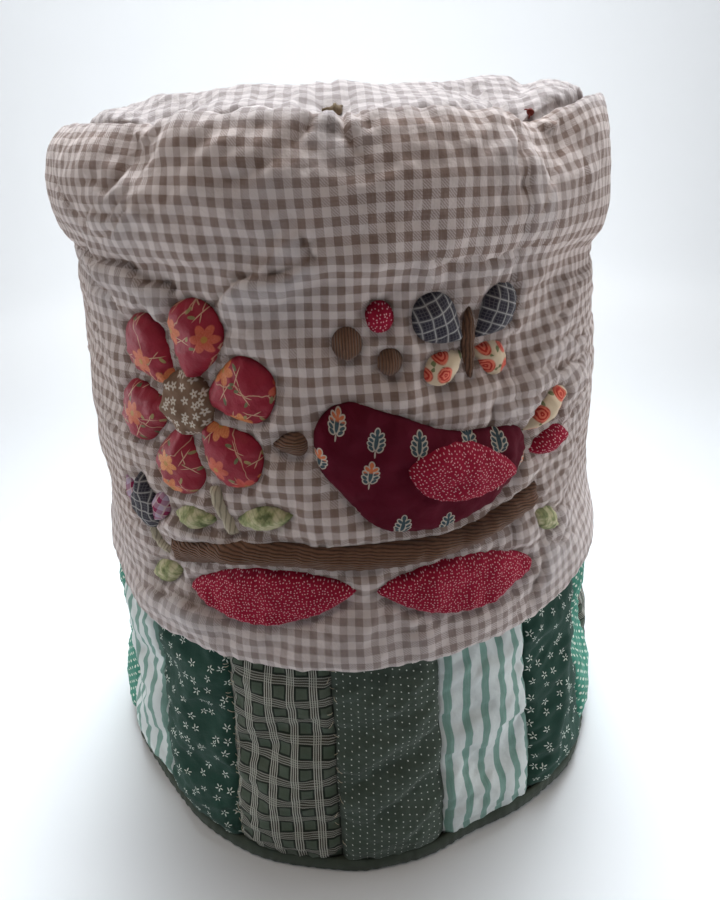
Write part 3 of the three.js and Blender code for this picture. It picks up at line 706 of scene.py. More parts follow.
# %% Cloth simulation on a grid
def spread_out(grid, size, closed):
    """The grid's slow part: every value is averaged with those up to `size` cells around it, twice over."""
    for _ in range(2):
        grid = np.pad(grid, ((size, size), (0, 0), (0, 0)), mode="edge")
        grid = np.pad(grid, ((0, 0), (size, size), (0, 0)), mode="wrap" if closed else "edge")
        total = np.cumsum(np.cumsum(np.pad(grid, ((1, 0), (1, 0), (0, 0))), 0), 1)
        wide = 2 * size + 1
        upper = total[wide:, wide:] - total[:-wide, wide:] - total[wide:, :-wide]
        grid = (upper + total[:-wide, :-wide]) / wide ** 2
    return grid


enlarged = 10     # the cloth is simulated at ten times its size, and brought back afterwards
hold_steps, hold_least = 20, 0.015
slow_reach = 9    # the slow part of the movement is what nine cells to each side have in common
free, held = 0.1, 1.0


def crumpled(points, hold, growth, stiffness=60, frames=16, cap=5.0, closed=True):
    """The grid after it has grown as cloth. `hold` is 1 where it is stitched and near 0 where it is free."""
    scene = bpy.context.scene
    rows, columns = points.shape[:2]
    faces, _, _ = grid_faces(rows, columns, closed_columns=closed)
    mesh = bpy.data.meshes.new("crumpling")
    mesh.from_pydata(points.reshape(-1, 3) * mm * enlarged, [], faces.tolist())
    cloth = bpy.data.objects.new("crumpling", mesh)
    scene.collection.objects.link(cloth)
    group = cloth.vertex_groups.new(name="hold")
    levels = np.round(np.clip(hold, 0, 1).ravel() * hold_steps) / hold_steps
    for level in np.unique(levels):
        group.add(np.flatnonzero(levels == level).tolist(), max(float(level), hold_least), "REPLACE")
    modifier = cloth.modifiers.new("cloth", "CLOTH")
    settings = modifier.settings
    settings.quality, settings.mass, settings.air_damping = 5, 0.3, 2.0
    settings.tension_stiffness = settings.compression_stiffness = 15
    settings.shear_stiffness, settings.bending_stiffness = 5, stiffness
    settings.vertex_group_mass, settings.pin_stiffness = "hold", 1.0
    settings.shrink_min = settings.shrink_max = -growth
    settings.effector_weights.gravity = 0
    modifier.collision_settings.use_collision = False
    modifier.collision_settings.use_self_collision = False
    modifier.point_cache.frame_start, modifier.point_cache.frame_end = 1, frames
    for step in range(1, frames + 1):
        scene.frame_set(step)
    evaluated = cloth.evaluated_get(bpy.context.evaluated_depsgraph_get())
    moved = np.empty(rows * columns * 3, np.float32)
    evaluated.data.vertices.foreach_get("co", moved)
    bpy.data.objects.remove(cloth)
    scene.frame_set(1)
    step = moved.reshape(points.shape).astype(float) / (mm * enlarged) - points
    step -= spread_out(step, slow_reach, closed)
    length = np.linalg.norm(step, axis=-1, keepdims=True)
    print("crumpled:", points.shape[:2], "mean", length.mean().round(2), "most", length.max().round(1), "mm")
    return points + step * np.minimum(1, cap / np.maximum(length, 1e-9))

# %% [markdown]
# ## The gingham wall
#
# The wall starts as a fairly coarse grid, crumples as cloth, and is then made twice as fine on smooth
# curves. What is smaller than the coarse grid comes last: the pull of each stitch line, the little
# puckers that run away from it, the sharp crease under the roll, and the creases that fan out from the
# ties.

# %% The coarse wall, crumpled
wall_columns, wall_rows = 240, 66
check = 7.3           # one brown and one white stripe of the gingham, in mm of cloth
check_rise = 7.65     # one check up the wall, which stretches a little that way
checks_round = 135.4  # checks round the cover; they don't meet quite at the upright seam
upright_seam = 30.5   # the azimuth where the ends of the cloth are sewn together

azimuth = upright_seam + np.arange(wall_columns) * 360 / wall_columns
row, _ = even_rows(wall_outside, wall_rows)
smooth_wall = wall_grid(azimuth, row)
away, _ = stitch_map(azimuth, smooth_wall[..., 2])
stitch_half, under_piece = 2.2, 0.8   # half a stitch line's width, and the hold of a piece that is sewn on
hold = np.where(away < -stitch_half, under_piece, np.where(np.abs(away) < stitch_half, held, free))
hold[0], hold[-2:] = held, held
moved = crumpled(smooth_wall, hold, growth=0.025) - smooth_wall
calm = 1 - 0.5 * bell(turn(azimuth) / 40) * ease((smooth_wall[..., 2] - 335) / 20)
calm = calm * (1 - 0.6 * bell((np.abs(turn(azimuth)) - 64) / 26))
wall_crumple, crown_crumple, band_crumple = 0.7, 0.75, 0.8   # the shares of the movement that are kept
wall_front = finer(smooth_wall + wall_crumple * moved * calm[..., None], 2)

# %% Stitch lines, puckers and drags
azimuth = upright_seam + np.arange(2 * wall_columns) * 360 / (2 * wall_columns)
wall_azimuth = azimuth
row, length = even_rows(wall_outside, 2 * wall_rows - 1)
nominal = wall_grid(azimuth, row)
height, cell = nominal[..., 2], (length[1], 2 * math.pi * fold_reference / len(azimuth))
away, along = stitch_map(azimuth, height)
up = length[:, None]
side = turn(azimuth)[None]
outer_rows = 90   # the rows up the wall, before its line turns over the roll
crease_length = np.interp(crease_height, height[:outer_rows, 0], length[:outer_rows])


def waves(across, rise, seed, tilt=0):
    """Random waves over the wall."""
    return soft_noise(height.shape, cell, across, rise, seed, tilt)


def patch(mid_azimuth, mid_height, half_azimuth, half_height):
    """A soft-edged patch of the wall."""
    return bell((side - mid_azimuth) / half_azimuth) * bell((height - mid_height) / half_height)


wall_creases = rows_of(
    "azimuth height deep along across tilt",
    (-50, 350, 3.0, 42, 3.4, -1),
    (-31, 343.5, 2.7, 24, 3.4, -19),
    (-16.5, 342, 2.8, 22, 3.2, 33),
    (-8.5, 349, 2.8, 15, 2.6, 13),
    (-4.4, 356, 2.4, 7, 2.4, -64),
    (1.8, 396, 2.8, 9, 2.2, -56),
    (-2.6, 398.5, 1.9, 8, 2.2, 34),
    (4.8, 399, 1.7, 8, 2.2, -16),
    (-27, 326.5, 1.5, 11, 2.6, -74),
    (-17, 311.5, 2.4, 16, 2.8, 4),
    (-17, 302, 1.4, 28, 3.8, 2),
    (-23, 308, 1.6, 7, 2.4, -8),
    (-23, 295.5, 1.6, 9, 2.4, -2),
    (-24.5, 286, 1.6, 7, 2.4, -30),
    (-26.5, 228, 3.0, 32, 3.0, -3),
    (-32.5, 181, 3.2, 38, 3.4, 9),
    (-50, 337, 1.7, 28, 2.6, -14),
    (-45, 334, 1.7, 20, 2.6, -49),
    (-34, 326.5, 1.5, 12, 2.4, -64),
    (-56, 318, 1.5, 22, 2.6, -36),
    (-50, 268, 1.4, 26, 2.8, -22),
    (-46, 214, 1.4, 26, 2.8, 18),
    (14.5, 349, 1.8, 13, 2.2, -11),
    (28, 347, 2.4, 24, 2.6, 2),
    (51, 286, 2.6, 48, 3.4, -11),
    (50, 299, 1.8, 40, 3.0, -7),
    (37, 281, 1.8, 22, 2.8, -4),
    (44, 315, 1.5, 26, 2.6, 24),
    (54, 262, 1.6, 26, 2.8, 20),
    (25.5, 276.5, 1.6, 12, 2.6, 88),
    (43, 207, 2.6, 30, 3.0, -17),
    (45, 187, 2.2, 26, 2.8, -16),
    (52, 232, 1.5, 24, 2.8, 14),
    (37, 179, 2.0, 18, 2.6, 58),
    (-37, 384, 1.8, 14, 3.0, 19),
    (-39, 371, 1.7, 20, 3.0, 14),
    (-34, 367, 1.5, 22, 3.0, 19),
    (-50, 372, 1.6, 18, 2.8, -30),
    (29, 386, 2.8, 10, 2.6, -86),
    (29.5, 368, 1.7, 14, 2.6, 88),
    (37, 369, 1.4, 20, 2.6, -71),
    (36, 371, 1.4, 19, 2.6, 36),
    (48, 378, 1.5, 18, 2.6, 62),
    (-11.5, 385, 1.0, 26, 6.0, 12),
    (8, 172, 1.0, 28, 2.8, 2),
    (86, 300, 1.8, 30, 3.0, 20),
    (104, 262, 1.8, 34, 3.2, -16),
    (124, 214, 2.0, 30, 3.2, 12),
    (140, 318, 2.0, 34, 3.2, -12),
    (162, 268, 1.6, 30, 3.0, 22),
    (176, 206, 2.0, 36, 3.4, -8),
    (-160, 312, 2.0, 34, 3.4, 14),
    (-142, 256, 1.8, 32, 3.0, -20),
    (-124, 198, 2.0, 34, 3.2, 8),
    (-112, 300, 1.8, 30, 3.0, -24),
    (-92, 240, 1.8, 30, 3.0, 18),
    (-78, 286, 1.6, 24, 2.8, -30),
    (-76, 206, 1.6, 24, 2.8, 16),
)


def crease_marks(creases):
    """Sharp valleys: the cloth stands out at once below each, and only a little above it."""
    total = 0
    for crease in creases:
        along, off = turned(arc(side - crease["azimuth"]), height - crease["height"], crease["tilt"])
        off = off + 2.6 * crease_bends
        stands = np.where(off < 0, 0.9, 0.25)
        off = np.abs(off)
        full = stands * ease(off / 2.4) * np.exp(-off / (3 * crease["across"]))
        total = total + crease["deep"] * (full - 1.2 * np.exp(-off / 1.6)) * bell(along / crease["along"])
    return total


crease_bends = waves(26, 40, 24)
detail = -2.2 * bell(away / 2.6) - 0.9 * ease(-away / 3)
outer = ease(away / 1.5) * np.exp(-np.maximum(away, 0) / 7)
pucker_length = 7.4
puckers = np.sin(along * 2 * np.pi / pucker_length + 2.2 * waves(30, 30, 11))
detail += 0.8 * puckers * outer * (1 + 0.5 * waves(40, 40, 12))
creased = crease_marks(wall_creases) * ease(away / 4 + 0.3)
detail += creased
detail += 0.7 * waves(9, 60, 13) * bell(up / 11)
under_roll = bell((up - crease_length) / 3.2) * (0.1 + 0.9 * ease((np.abs(side - 4) - 16) / 30))
detail -= 1.7 * under_roll * (1 + 0.4 * waves(30, 60, 14))
detail += 0.9 * waves(46, 11, 15, tilt=38) * patch(46, 262, 18, 70)
detail += 0.8 * waves(50, 12, 16, tilt=-20) * patch(-48, 300, 18, 36)
detail += 0.8 * waves(34, 10, 17, tilt=12) * patch(-30, 215, 24, 34)
loose = 1 - 0.6 * bell((np.abs(side) - 66) / 24)
detail += (0.6 * waves(52, 12, 18, tilt=30) * (1 - patch(0, 260, 62, 90)) + 0.5 * waves(13, 9, 19)) * loose
detail += 0.9 * waves(38, 24, 20) * loose
seam_side = arc(side - upright_seam)
seam_pull = 0.9 * waves(90, 7, 25) * np.exp(-np.abs(seam_side) / 6) - 1.3 * bell(seam_side / 1.5)
detail += seam_pull * ease((up - 6) / 10)


def tie_creases(tie_side, distance, depth, open_by=0.5, reach=20):
    """A pit at a tie and two creases that fan out from it, for places beside it and up from the seam."""
    legs = bell((np.abs(tie_side) - open_by * distance) / 2.2) * np.exp(-distance / reach)
    return -depth * (0.55 * legs + bell(np.hypot(tie_side, distance) / 5.5))


def tie_pleat(tie_side, distance, depth):
    """A fold in the shape of a V below a tie: the cloth rises gently to it and drops steeply under it."""
    below = distance - depth + 0.8 * np.abs(tie_side)
    fold = np.where(below < 0, np.exp(-np.abs(below / 9)), bell(below / 1.6) * 1.3 - 0.3)
    return 2.6 * np.maximum(fold, -0.3) * bell(tie_side / 9) * bell(below / 16) * ease(distance / 8)


roll_radius, pleat_depth = 140, 21
from_crown = length[-1] - up
for tie in ties:
    tie_side = arc(side - tie["azimuth"], roll_radius)
    detail += 0.5 * tie_creases(tie_side, from_crown, depth=0.6 + 0.4 * tie["sink"])
    detail += tie_pleat(tie_side - 5, from_crown, pleat_depth)
detail += 0.8 * waves(10, 90, 21) * bell(from_crown / 12)
wall_front = pushed(wall_front, detail * ease(from_crown / 3 + 0.2))
# Painted shade: the cloth's colour is darkened in the creases, along the stitch lines, under the roll and at
# the crown's seam, where shade falls.
groove_shade = 0.75 * np.clip(-creased / 3, 0, 1) + 0.6 * bell(away / 1.6) + 0.3 * under_roll
groove_shade += 0.9 * bell(from_crown / 3)

# %% The wall's own mesh
inside_rows = 16
inside_row, _ = even_rows(wall_inside, inside_rows)
inside_radius = smooth(wall_inside["radius"], inside_row)[:, None]
inside_height = smooth(wall_inside["height"], inside_row)[:, None]
wall_back = around(azimuth, inside_radius + np.zeros_like(azimuth), inside_height)


def closed_ring(name, points, uv, material):
    """A mesh that is closed both ways, from rows that go up the outside and down the inside."""
    rows, columns = points.shape[:2]
    faces, corner_rows, corner_columns = grid_faces(rows, columns, True, True)
    corner_uv = uv[corner_rows.ravel(), corner_columns.ravel()] * mm
    return new_mesh(name, points.reshape(-1, 3), faces, corner_uv, material)


def ring_uv(across, rise, drift_across=0, drift_up=0):
    """Cloth coordinates in mm for closed_ring, with one row and one column more than its points."""
    uv = np.stack(np.broadcast_arrays(across[None], rise[:, None]), -1).astype(float)
    uv[..., 0] += drift_across
    uv[..., 1] += drift_up
    return uv


drift = np.zeros((len(wall_front) + inside_rows + 1, len(azimuth) + 1, 2))
drift[:len(length), :-1, 0] = 0.9 * waves(90, 70, 22)
drift[:len(length), :-1, 0] += 8 * np.sin(np.radians(side)) * ease((height - 190) / 110)
drift[:len(length), :-1, 0] += 9 * patch(-38, 262, 24, 60)
drift[:len(length), :-1, 1] = 1.3 * waves(110, 80, 23) + 0.11 * np.maximum(up - 180, 0)
drift[len(length):, :-1] = drift[len(length) - 1, :-1]
drift[:, -1] = drift[:, 0]
lining_length = 250   # how much cloth lies inside, down from the crown
inside_up = length[-1] + np.linspace(8, lining_length, inside_rows + 1)
wall_uv = ring_uv(
    np.append(azimuth, azimuth[0] + 360) / 360 * checks_round * check,
    np.append(length, inside_up) * check / check_rise, drift[..., 0], drift[..., 1])
wall_points = np.concatenate([wall_front, wall_back])

# %% [markdown]
# ## The woven checks
#
# Gingham is woven from yarn of two colours, the same stripes in the warp and the weft. Where two brown
# stripes cross it is brown, where a brown one crosses a white one both show, thread by thread, and that
# is why the mixed squares look flecked. So the finish adds the two stripes up, thread by thread.

# %% Gingham
def gingham():
    f = Finish("gingham")
    warp = f.band(f.across, check, 0.5, 0.035)
    weft = f.band(f.up, check, 0.5, 0.035)
    ragged = f.noise(f.across, f.up, 0.6, 1.0) * 0.6
    over = f.band(f.across + f.up + ragged, 1.25, 0.5, 0.3) * 0.5 + 0.25
    share = warp * over + weft * (1 - over)
    worn = f.noise(f.across, f.up, 26, 3.0)
    yarn = f.noise(f.across * 0.1, f.up, 0.8, 1.0) * 0.5 + f.noise(f.across, f.up * 0.1, 0.8, 1.0) * 0.5
    share = share * (0.78 + yarn * 0.34)
    pale = f.mix(worn, (0.53, 0.440, 0.408), (0.60, 0.508, 0.474))
    brown = f.mix(worn, (0.165, 0.103, 0.080), (0.215, 0.139, 0.111))
    color = f.mix(share.clamped(), pale, brown)
    # Painted light: a pale grey is mixed in where the mesh is painted for light, on the crown, the roll's
    # top, the foot and the ridges.
    color = f.mix(f.painted("painted_light"), color, (0.48, 0.475, 0.50))
    # Painted shade: dark brown is mixed in where the mesh is painted for shade in its creases and seams.
    color = f.mix(f.painted("groove_shade") * 0.5, color, (0.10, 0.068, 0.056))
    return f.finish(color, f.weave(0.37), depth=0.10, sheen=0.14, crumple=0.8, crumple_size=7.0)


def navy_check():
    f = Finish("navy_check")
    lines = f.crossed(5.2, 5.2, 0.12, 0.05).larger(f.crossed(1.3, 1.3, 0.2, 0.12) * 0.22)
    color = f.mix(lines * 0.75, (0.030, 0.026, 0.038), (0.40, 0.38, 0.36))
    return f.finish(color, f.weave(0.5), crumple=0.5)


def lilac_check():
    f = Finish("lilac_check")
    share = (f.band(f.across, 6, 0.5) + f.band(f.up, 6, 0.5)) * 0.5
    line = f.crossed(6, 6, 0.1, 0.04, 0.25)
    color = f.mix(line * 0.7, f.mix(share, (0.42, 0.33, 0.42), (0.24, 0.02, 0.07)), (0.55, 0.45, 0.40))
    return f.finish(color, f.weave(0.45))


# %% Plaid, stripes and ribs
def green_plaid():
    f = Finish("green_plaid")
    across, rise = 12.6, 13.6

    def lines(x, period):
        shifts = (-0.150, -0.050, 0.050, 0.150)
        return reduce(Signal.larger, [f.band(x, period, 0.034, 0.026, shift) for shift in shifts])

    over = f.band(f.across + f.up, 1.0, 0.5, 0.3)
    cream = lines(f.across, across) * (0.66 + over * 0.2)
    cream = cream.larger(lines(f.up, rise) * (0.50 - over * 0.2))
    shade, bar = f.crossed(across, rise, 0.53, 0.04), f.crossed(across, rise, 0.37, 0.04)
    green = f.mottled(16, 2.0, (0.050, 0.076, 0.052), (0.082, 0.090, 0.066))
    ground = f.mix(bar * 0.8, f.mix(shade, green, (0.014, 0.018, 0.013)), (0.052, 0.046, 0.036))
    color = f.mix(cream, ground, (0.60, 0.60, 0.52))
    return f.finish(color, f.weave(0.4), crumple=0.5)


def green_stripe():
    f = Finish("green_stripe")
    wavy = f.noise(f.across * 0.05, f.up, 24, 0.0) * 5.0
    wide = f.band(f.across + wavy, 11.2, 0.40, 0.03)
    thread = f.noise(f.across, f.up * 0.06, 1.0, 2.0)
    color = f.mix(wide * (0.8 + thread * 0.2), (0.58, 0.61, 0.595), (0.135, 0.262, 0.215))
    return f.finish(color, f.weave(0.4), crumple=0.45)


def ecru_ticking():
    f = Finish("ecru_ticking")
    thin = f.band(f.across, 1.9, 0.3, 0.12)
    ground = f.mottled(12, 2.0, (0.42, 0.36, 0.26), (0.52, 0.46, 0.35))
    return f.finish(f.mix(thin * 0.55, ground, (0.14, 0.11, 0.085)), f.weave(0.5, 0.7))


def brown_corduroy():
    f = Finish("brown_corduroy")
    place = (f.across * (1 / 1.25)).fract() - 0.5
    rib = 1 - place * place * 4.0
    nap = f.noise(f.across * 0.5, f.up, 2.2, 3.0)
    # The colour follows each rib's height: the grooves between the ribs are darker, partly in the pile's own
    # colour and partly as painted shade, and the nap adds random tone.
    tone = rib * 0.7 + nap * 0.3
    color = f.mix(tone.clamped(), (0.040, 0.018, 0.011), (0.190, 0.096, 0.058))
    return f.finish(color, rib * 1.0 + nap * 0.4, depth=0.5, sheen=0.12, roughness=0.95)


# %% Dots and sprigs
def staggered(f, across, rise):
    """Places in mm from the middle of the nearest of many dots set like the bricks of a wall."""
    up = f.up * (1 / rise)
    odd = f.band(up, 2.0, 0.5, 0.001, 0.25)
    x = ((f.across * (1 / across) + odd * 0.5).fract() - 0.5) * across
    return x, (up.fract() - 0.5) * rise


def squared(across, up, wide, high):
    """Places in mm from the middle of each cell of a plain grid."""
    return ((across * (1 / wide)).fract() - 0.5) * wide, ((up * (1 / high)).fract() - 0.5) * high


def teal_dot():
    f = Finish("teal_dot")
    x, y = staggered(f, 6.4, 3.3)
    dot = f.oval(x, y, (0, 0), (1.15, 0.95))
    ground = f.mottled(20, 2.0, (0.040, 0.185, 0.130), (0.060, 0.245, 0.175))
    return f.finish(f.mix(dot * 0.9, ground, (0.66, 0.68, 0.60)), f.weave(0.4))


def green_pin_dot():
    f = Finish("green_pin_dot")
    x, y = squared(f.across, f.up + f.across * 0.24, 3.9, 4.05)
    dot = f.oval(x, y, (0, 0), (0.42, 0.42), edge=0.7)
    ground = f.mottled(16, 3.0, (0.036, 0.050, 0.037), (0.066, 0.084, 0.066))
    color = f.mix(dot * 0.95, ground, (0.70, 0.72, 0.64))
    return f.finish(color, f.weave(0.4), crumple=0.8, crumple_size=7.0)


def green_sprig():
    f = Finish("green_sprig")
    x, y, (_, wide, _) = f.scattered(9.6, 0.75)
    x = x * (0.8 + wide * 0.5)
    sprig = f.ovals(x, y, [
        ((0.1, 1.5), (1.25, 0.42), 70), ((1.5, 0.3), (1.1, 0.38), 10), ((-1.3, 0.5), (1.0, 0.36), 150),
        ((0.6, -1.4), (1.1, 0.34), -55), ((-0.9, -1.1), (0.8, 0.3), -130)])
    broken = f.noise(x, y, 0.9, 2.0)
    ground = f.mottled(18, 2.0, (0.013, 0.040, 0.029), (0.022, 0.062, 0.045))
    color = f.mix(sprig * (0.55 + broken * 0.8).clamped(), ground, (0.66, 0.70, 0.62))
    return f.finish(color, f.weave(0.4))


def red_pebble():
    f = Finish("red_pebble")
    x, y, _ = f.scattered(1.6, 0.7)
    pebble = f.oval(x, y, (0, 0), (0.42, 0.30), edge=0.7)
    ground = f.mottled(16, 2.0, (0.225, 0.006, 0.022), (0.300, 0.010, 0.034))
    color = f.mix(pebble * 0.8, ground, (0.74, 0.44, 0.47))
    return f.finish(color, f.weave(0.4), sheen=0.0, crumple=0.9, crumple_size=7.0)


# %% Flowered prints
def dark_sprig():
    """Small leafy bushes with pale edges, some blue-green and some orange at the top, on dark burgundy."""
    f = Finish("dark_sprig")
    x, y, (_, pick, _) = f.scattered(21, 0.5, spin=False)
    lobes = [((0, 5.4), (1.5, 1.1), 90), ((0, 1.2), (4.2, 1.1), 90)]
    for rise, out in ((3.7, 1.7), (1.7, 2.3), (-0.3, 2.5), (-2.2, 1.9)):
        lobes += [((out, rise), (1.55, 0.85), 40), ((-out, rise), (1.55, 0.85), 140)]

    def bush(wider, edge):
        rows = [(middle, (long + wider, wide + wider), angle) for middle, (long, wide), angle in lobes]
        return f.ovals(x, y, rows, edge)

    stem = f.oval(x, y, (0, -4.6), (1.6, 0.4), 90)
    top = ((y - 1.5) * 1.2).clamped() * (pick * 3.0 - 1.0).clamped()
    veins = f.noise(x * 2.4, y * 2.4, 1.5, 2.0)
    cool = f.mix(veins, (0.016, 0.030, 0.042), (0.070, 0.105, 0.115))
    warm = f.mix(veins, (0.42, 0.06, 0.03), (0.66, 0.22, 0.08))
    ground = f.mottled(22, 2.0, (0.068, 0.003, 0.010), (0.100, 0.005, 0.016))
    color = f.mix(bush(0.42, 0.2).larger(stem) * 0.8, ground, (0.50, 0.45, 0.37))
    color = f.mix(bush(-0.12, 0.3), color, f.mix(top, cool, warm))
    return f.finish(color, f.weave(0.4), sheen=0.0, crumple=0.9, crumple_size=7.0)


def burgundy_floral():
    """Orange and yellow flowers, pale twigs and green leaves on burgundy."""
    f = Finish("burgundy_floral")
    ripple = f.noise(f.across, f.up, 9, 2.0) * 8.0
    branch = f.band(f.up + ripple + f.across * 0.55, 24, 0.018, 0.018)
    x, y, (_, _, twig_pick) = f.scattered(12, 0.8, shift=3.4)
    twig = f.ovals(x, y, [
        ((0, 0), (5.6, 0.30), 0), ((1.8, 1.5), (2.4, 0.26), 50), ((-1.4, -1.3), (2.2, 0.26), 220)], 0.6)
    leaves = f.ovals(x, y, [((3.6, 2.4), (1.9, 0.8), 60), ((-3.8, 1.5), (1.9, 0.8), 130)])
    ground = f.mottled(18, 2.0, (0.235, 0.006, 0.020), (0.305, 0.011, 0.030))
    color = f.mix(branch.larger(twig) * 0.85, ground, (0.56, 0.36, 0.22))
    color = f.mix(leaves * 0.9, color, f.mix(twig_pick, (0.060, 0.110, 0.045), (0.33, 0.27, 0.10)))

    x, y, (_, pick, _) = f.scattered(22, 0.62)
    rows = []
    for angle in range(0, 360, 60):
        middle = (3.4 * math.cos(math.radians(angle)), 3.4 * math.sin(math.radians(angle)))
        rows.append((middle, (3.1, 2.0), angle))
    petals = f.ovals(x, y, rows, 0.35)
    heart = f.oval(x, y, (0, 0), (1.5, 1.5), 0, 0.5)
    streak = f.noise(x * 2.0, y * 2.0, 1.6, 2.0)
    flower = f.mix(streak, (0.52, 0.090, 0.030), f.mix(pick, (0.66, 0.33, 0.09), (0.50, 0.04, 0.07)))
    color = f.mix(petals * (0.75 + streak * 0.4), color, flower)
    color = f.mix(heart, color, (0.42, 0.20, 0.04))
    return f.finish(color, f.weave(0.4), roughness=0.5, shine=0.3, sheen=0.0, crumple=1.0, crumple_size=8.0)


def coral_rose():
    f = Finish("coral_rose")
    x, y, _ = f.scattered(11, 0.5)
    swirl = (x * x + y * y).power(0.5)
    rose = f.oval(x, y, (0, 0), (4.4, 4.0), 0, 0.3)
    rings = f.band(swirl + f.noise(x, y, 3.0, 2.0) * 2.2, 1.7, 0.55, 0.2)
    red = f.mix(rings, (0.42, 0.030, 0.022), (0.66, 0.16, 0.10))
    leaves = f.ovals(x, y, [((5.4, 0.8), (1.8, 0.9), 30), ((-5.2, -1.2), (1.8, 0.9), 200)])
    color = f.mix(leaves * 0.9, (0.60, 0.47, 0.33), (0.12, 0.15, 0.06))
    return f.finish(f.mix(rose, color, red), f.weave(0.4))


def brown_lace_print():
    f = Finish("brown_lace_print")
    x, y, _ = f.scattered(5.2, 0.6)
    swirl = (x * x + y * y).power(0.5)
    angle = y.math("ARCTAN2", x)
    petal = ((angle * 5.0).sine() * 0.55 + 1.75 - swirl) * 1.6
    heart = f.oval(x, y, (0, 0), (0.5, 0.5), 0, 0.6)
    ground = f.mottled(10, 3.0, (0.125, 0.070, 0.045), (0.215, 0.130, 0.085))
    color = f.mix(petal.clamped() * 0.8, ground, (0.62, 0.55, 0.47))
    return f.finish(f.mix(heart, color, (0.20, 0.11, 0.06)), f.weave(0.4))


def leaf_batik():
    f = Finish("leaf_batik")
    cloud = f.noise(f.across, f.up, 6, 4.0, 0.6)
    vein = f.band(f.across + abs(f.up) * 0.9, 3.2, 0.2, 0.2)
    color = f.node("ShaderNodeValToRGB", {"stops": [
        (0.32, (0.115, 0.135, 0.060)), (0.62, (0.52, 0.47, 0.30)), (0.47, (0.30, 0.31, 0.15))]},
        {"Fac": cloud})["Color"]
    return f.finish(f.mix(vein * 0.35, color, (0.10, 0.12, 0.05)), f.weave(0.4))


def plain_cotton(name, one, other, thread=0.45):
    f = Finish(name)
    return f.finish(f.mottled(9, 3.0, one, other), f.weave(thread), crumple=0.4)


fabrics = {make.__name__: make() for make in (
    gingham, navy_check, lilac_check, green_plaid, green_stripe, ecru_ticking, brown_corduroy, teal_dot,
    green_pin_dot, green_sprig, red_pebble, dark_sprig, burgundy_floral, coral_rose, brown_lace_print,
    leaf_batik)}
fabrics["binding_cotton"] = plain_cotton("binding_cotton", (0.040, 0.050, 0.038), (0.066, 0.079, 0.061))
print("fabrics:", ", ".join(fabrics))

# %% The wall
wall = closed_ring("gingham_wall_cloth", wall_points, wall_uv, fabrics["gingham"])
# Painted shade in the creases, along the stitch lines, under the roll and at the crown's seam.
paint(wall, "groove_shade", groove_shade)
front_height = wall_front[..., 2]   # painted light: the top of the roll, the foot and the ridges of the front are painted paler, where light falls on them
painted_light = 0.3 * ease((front_height - 396) / 9) + 0.15 * (1 - ease((front_height - 175) / 45))
paint(wall, "painted_light", painted_light + 0.28 * np.clip(creased / 1.4, 0, 1) * bell(side / 75))
finish_padded(wall, 0.6, "gingham", "gingham_wall")

# %% [markdown]
# ## The crown
#
# The crown is a round pad. A disc with a pole in the middle would pinch the gingham there, so a square
# grid is bent into a round one instead, and the checks then run straight across it, as they do on cloth
# that is cut round. It swells between the ties, rolls down into the seam, and creases towards each tie.

# %% The crown's surface
crown_cells = 150
crown_under = 395.2
crown_rise = 12.5
crown_check = 6.5   # one check on the crown, whose cloth is drawn in
crown_line = table(  # from the middle to the edge: shares of the ties' dip and of the swelling
    "share dip swell",
    (0.0, 0.0, 0.0), (0.4, 0.0, 0.1), (0.64, 0.15, 0.5), (0.80, 0.45, 0.85),
    (0.92, 0.8, 1.0), (0.97, 0.95, 0.9), (1.0, 1.0, 0.2),
)
crown_creases = rows_of(  # straight ones: which way they face, and how far out from the middle they lie
    "facing out deep along across",
    (73, 104, 4.2, 52, 6),
    (-62, 108, 2.0, 44, 6),
    (-16, 112, 1.2, 40, 5),
    (150, 102, 2.4, 50, 7),
    (-124, 104, 2.2, 50, 7),
    (33, 95, 3.6, 42, 16),
)


def round_grid(cells):
    """A square grid bent into a disc: x and y from -1 to 1, rows towards the back."""
    a = np.linspace(-1, 1, cells + 1)
    x, y = np.meshgrid(a, a)
    return x * np.sqrt(1 - y * y / 2), y * np.sqrt(1 - x * x / 2)


def crown_place(x, y):
    """Azimuth, distance from the edge in mm and top of the crown at places given as shares of its radius."""
    share, azimuth = np.hypot(x, y), np.degrees(np.arctan2(x, -y))
    rim = rim_at(azimuth)
    radius = tie_radius - 0.6 + rim["spread"]
    edge = (1 - share) * radius
    dip = np.interp(share, crown_line["share"], crown_line["dip"])
    puff = np.interp(share, crown_line["share"], crown_line["swell"])
    roll_down = 4.0 * np.clip(1 - edge / 6, 0, 1) ** 2
    height = tie_height + crown_rise * (1 - share ** 4) + 0.6 * (rim["lobe"] - rim["sink"]) * dip
    height += rim["swell"] * puff - roll_down
    return azimuth, edge, np.stack([x * radius, y * radius, height], -1)


# %% The crown, crumpled and creased
_, edge, flat_crown = crown_place(*round_grid(crown_cells // 2))
hold = np.where(edge < 2.5, held, free)
moved = crumpled(flat_crown, hold, growth=0.03, closed=False) - flat_crown
crown_front = finer(flat_crown + crown_crumple * moved, 2, closed=False)

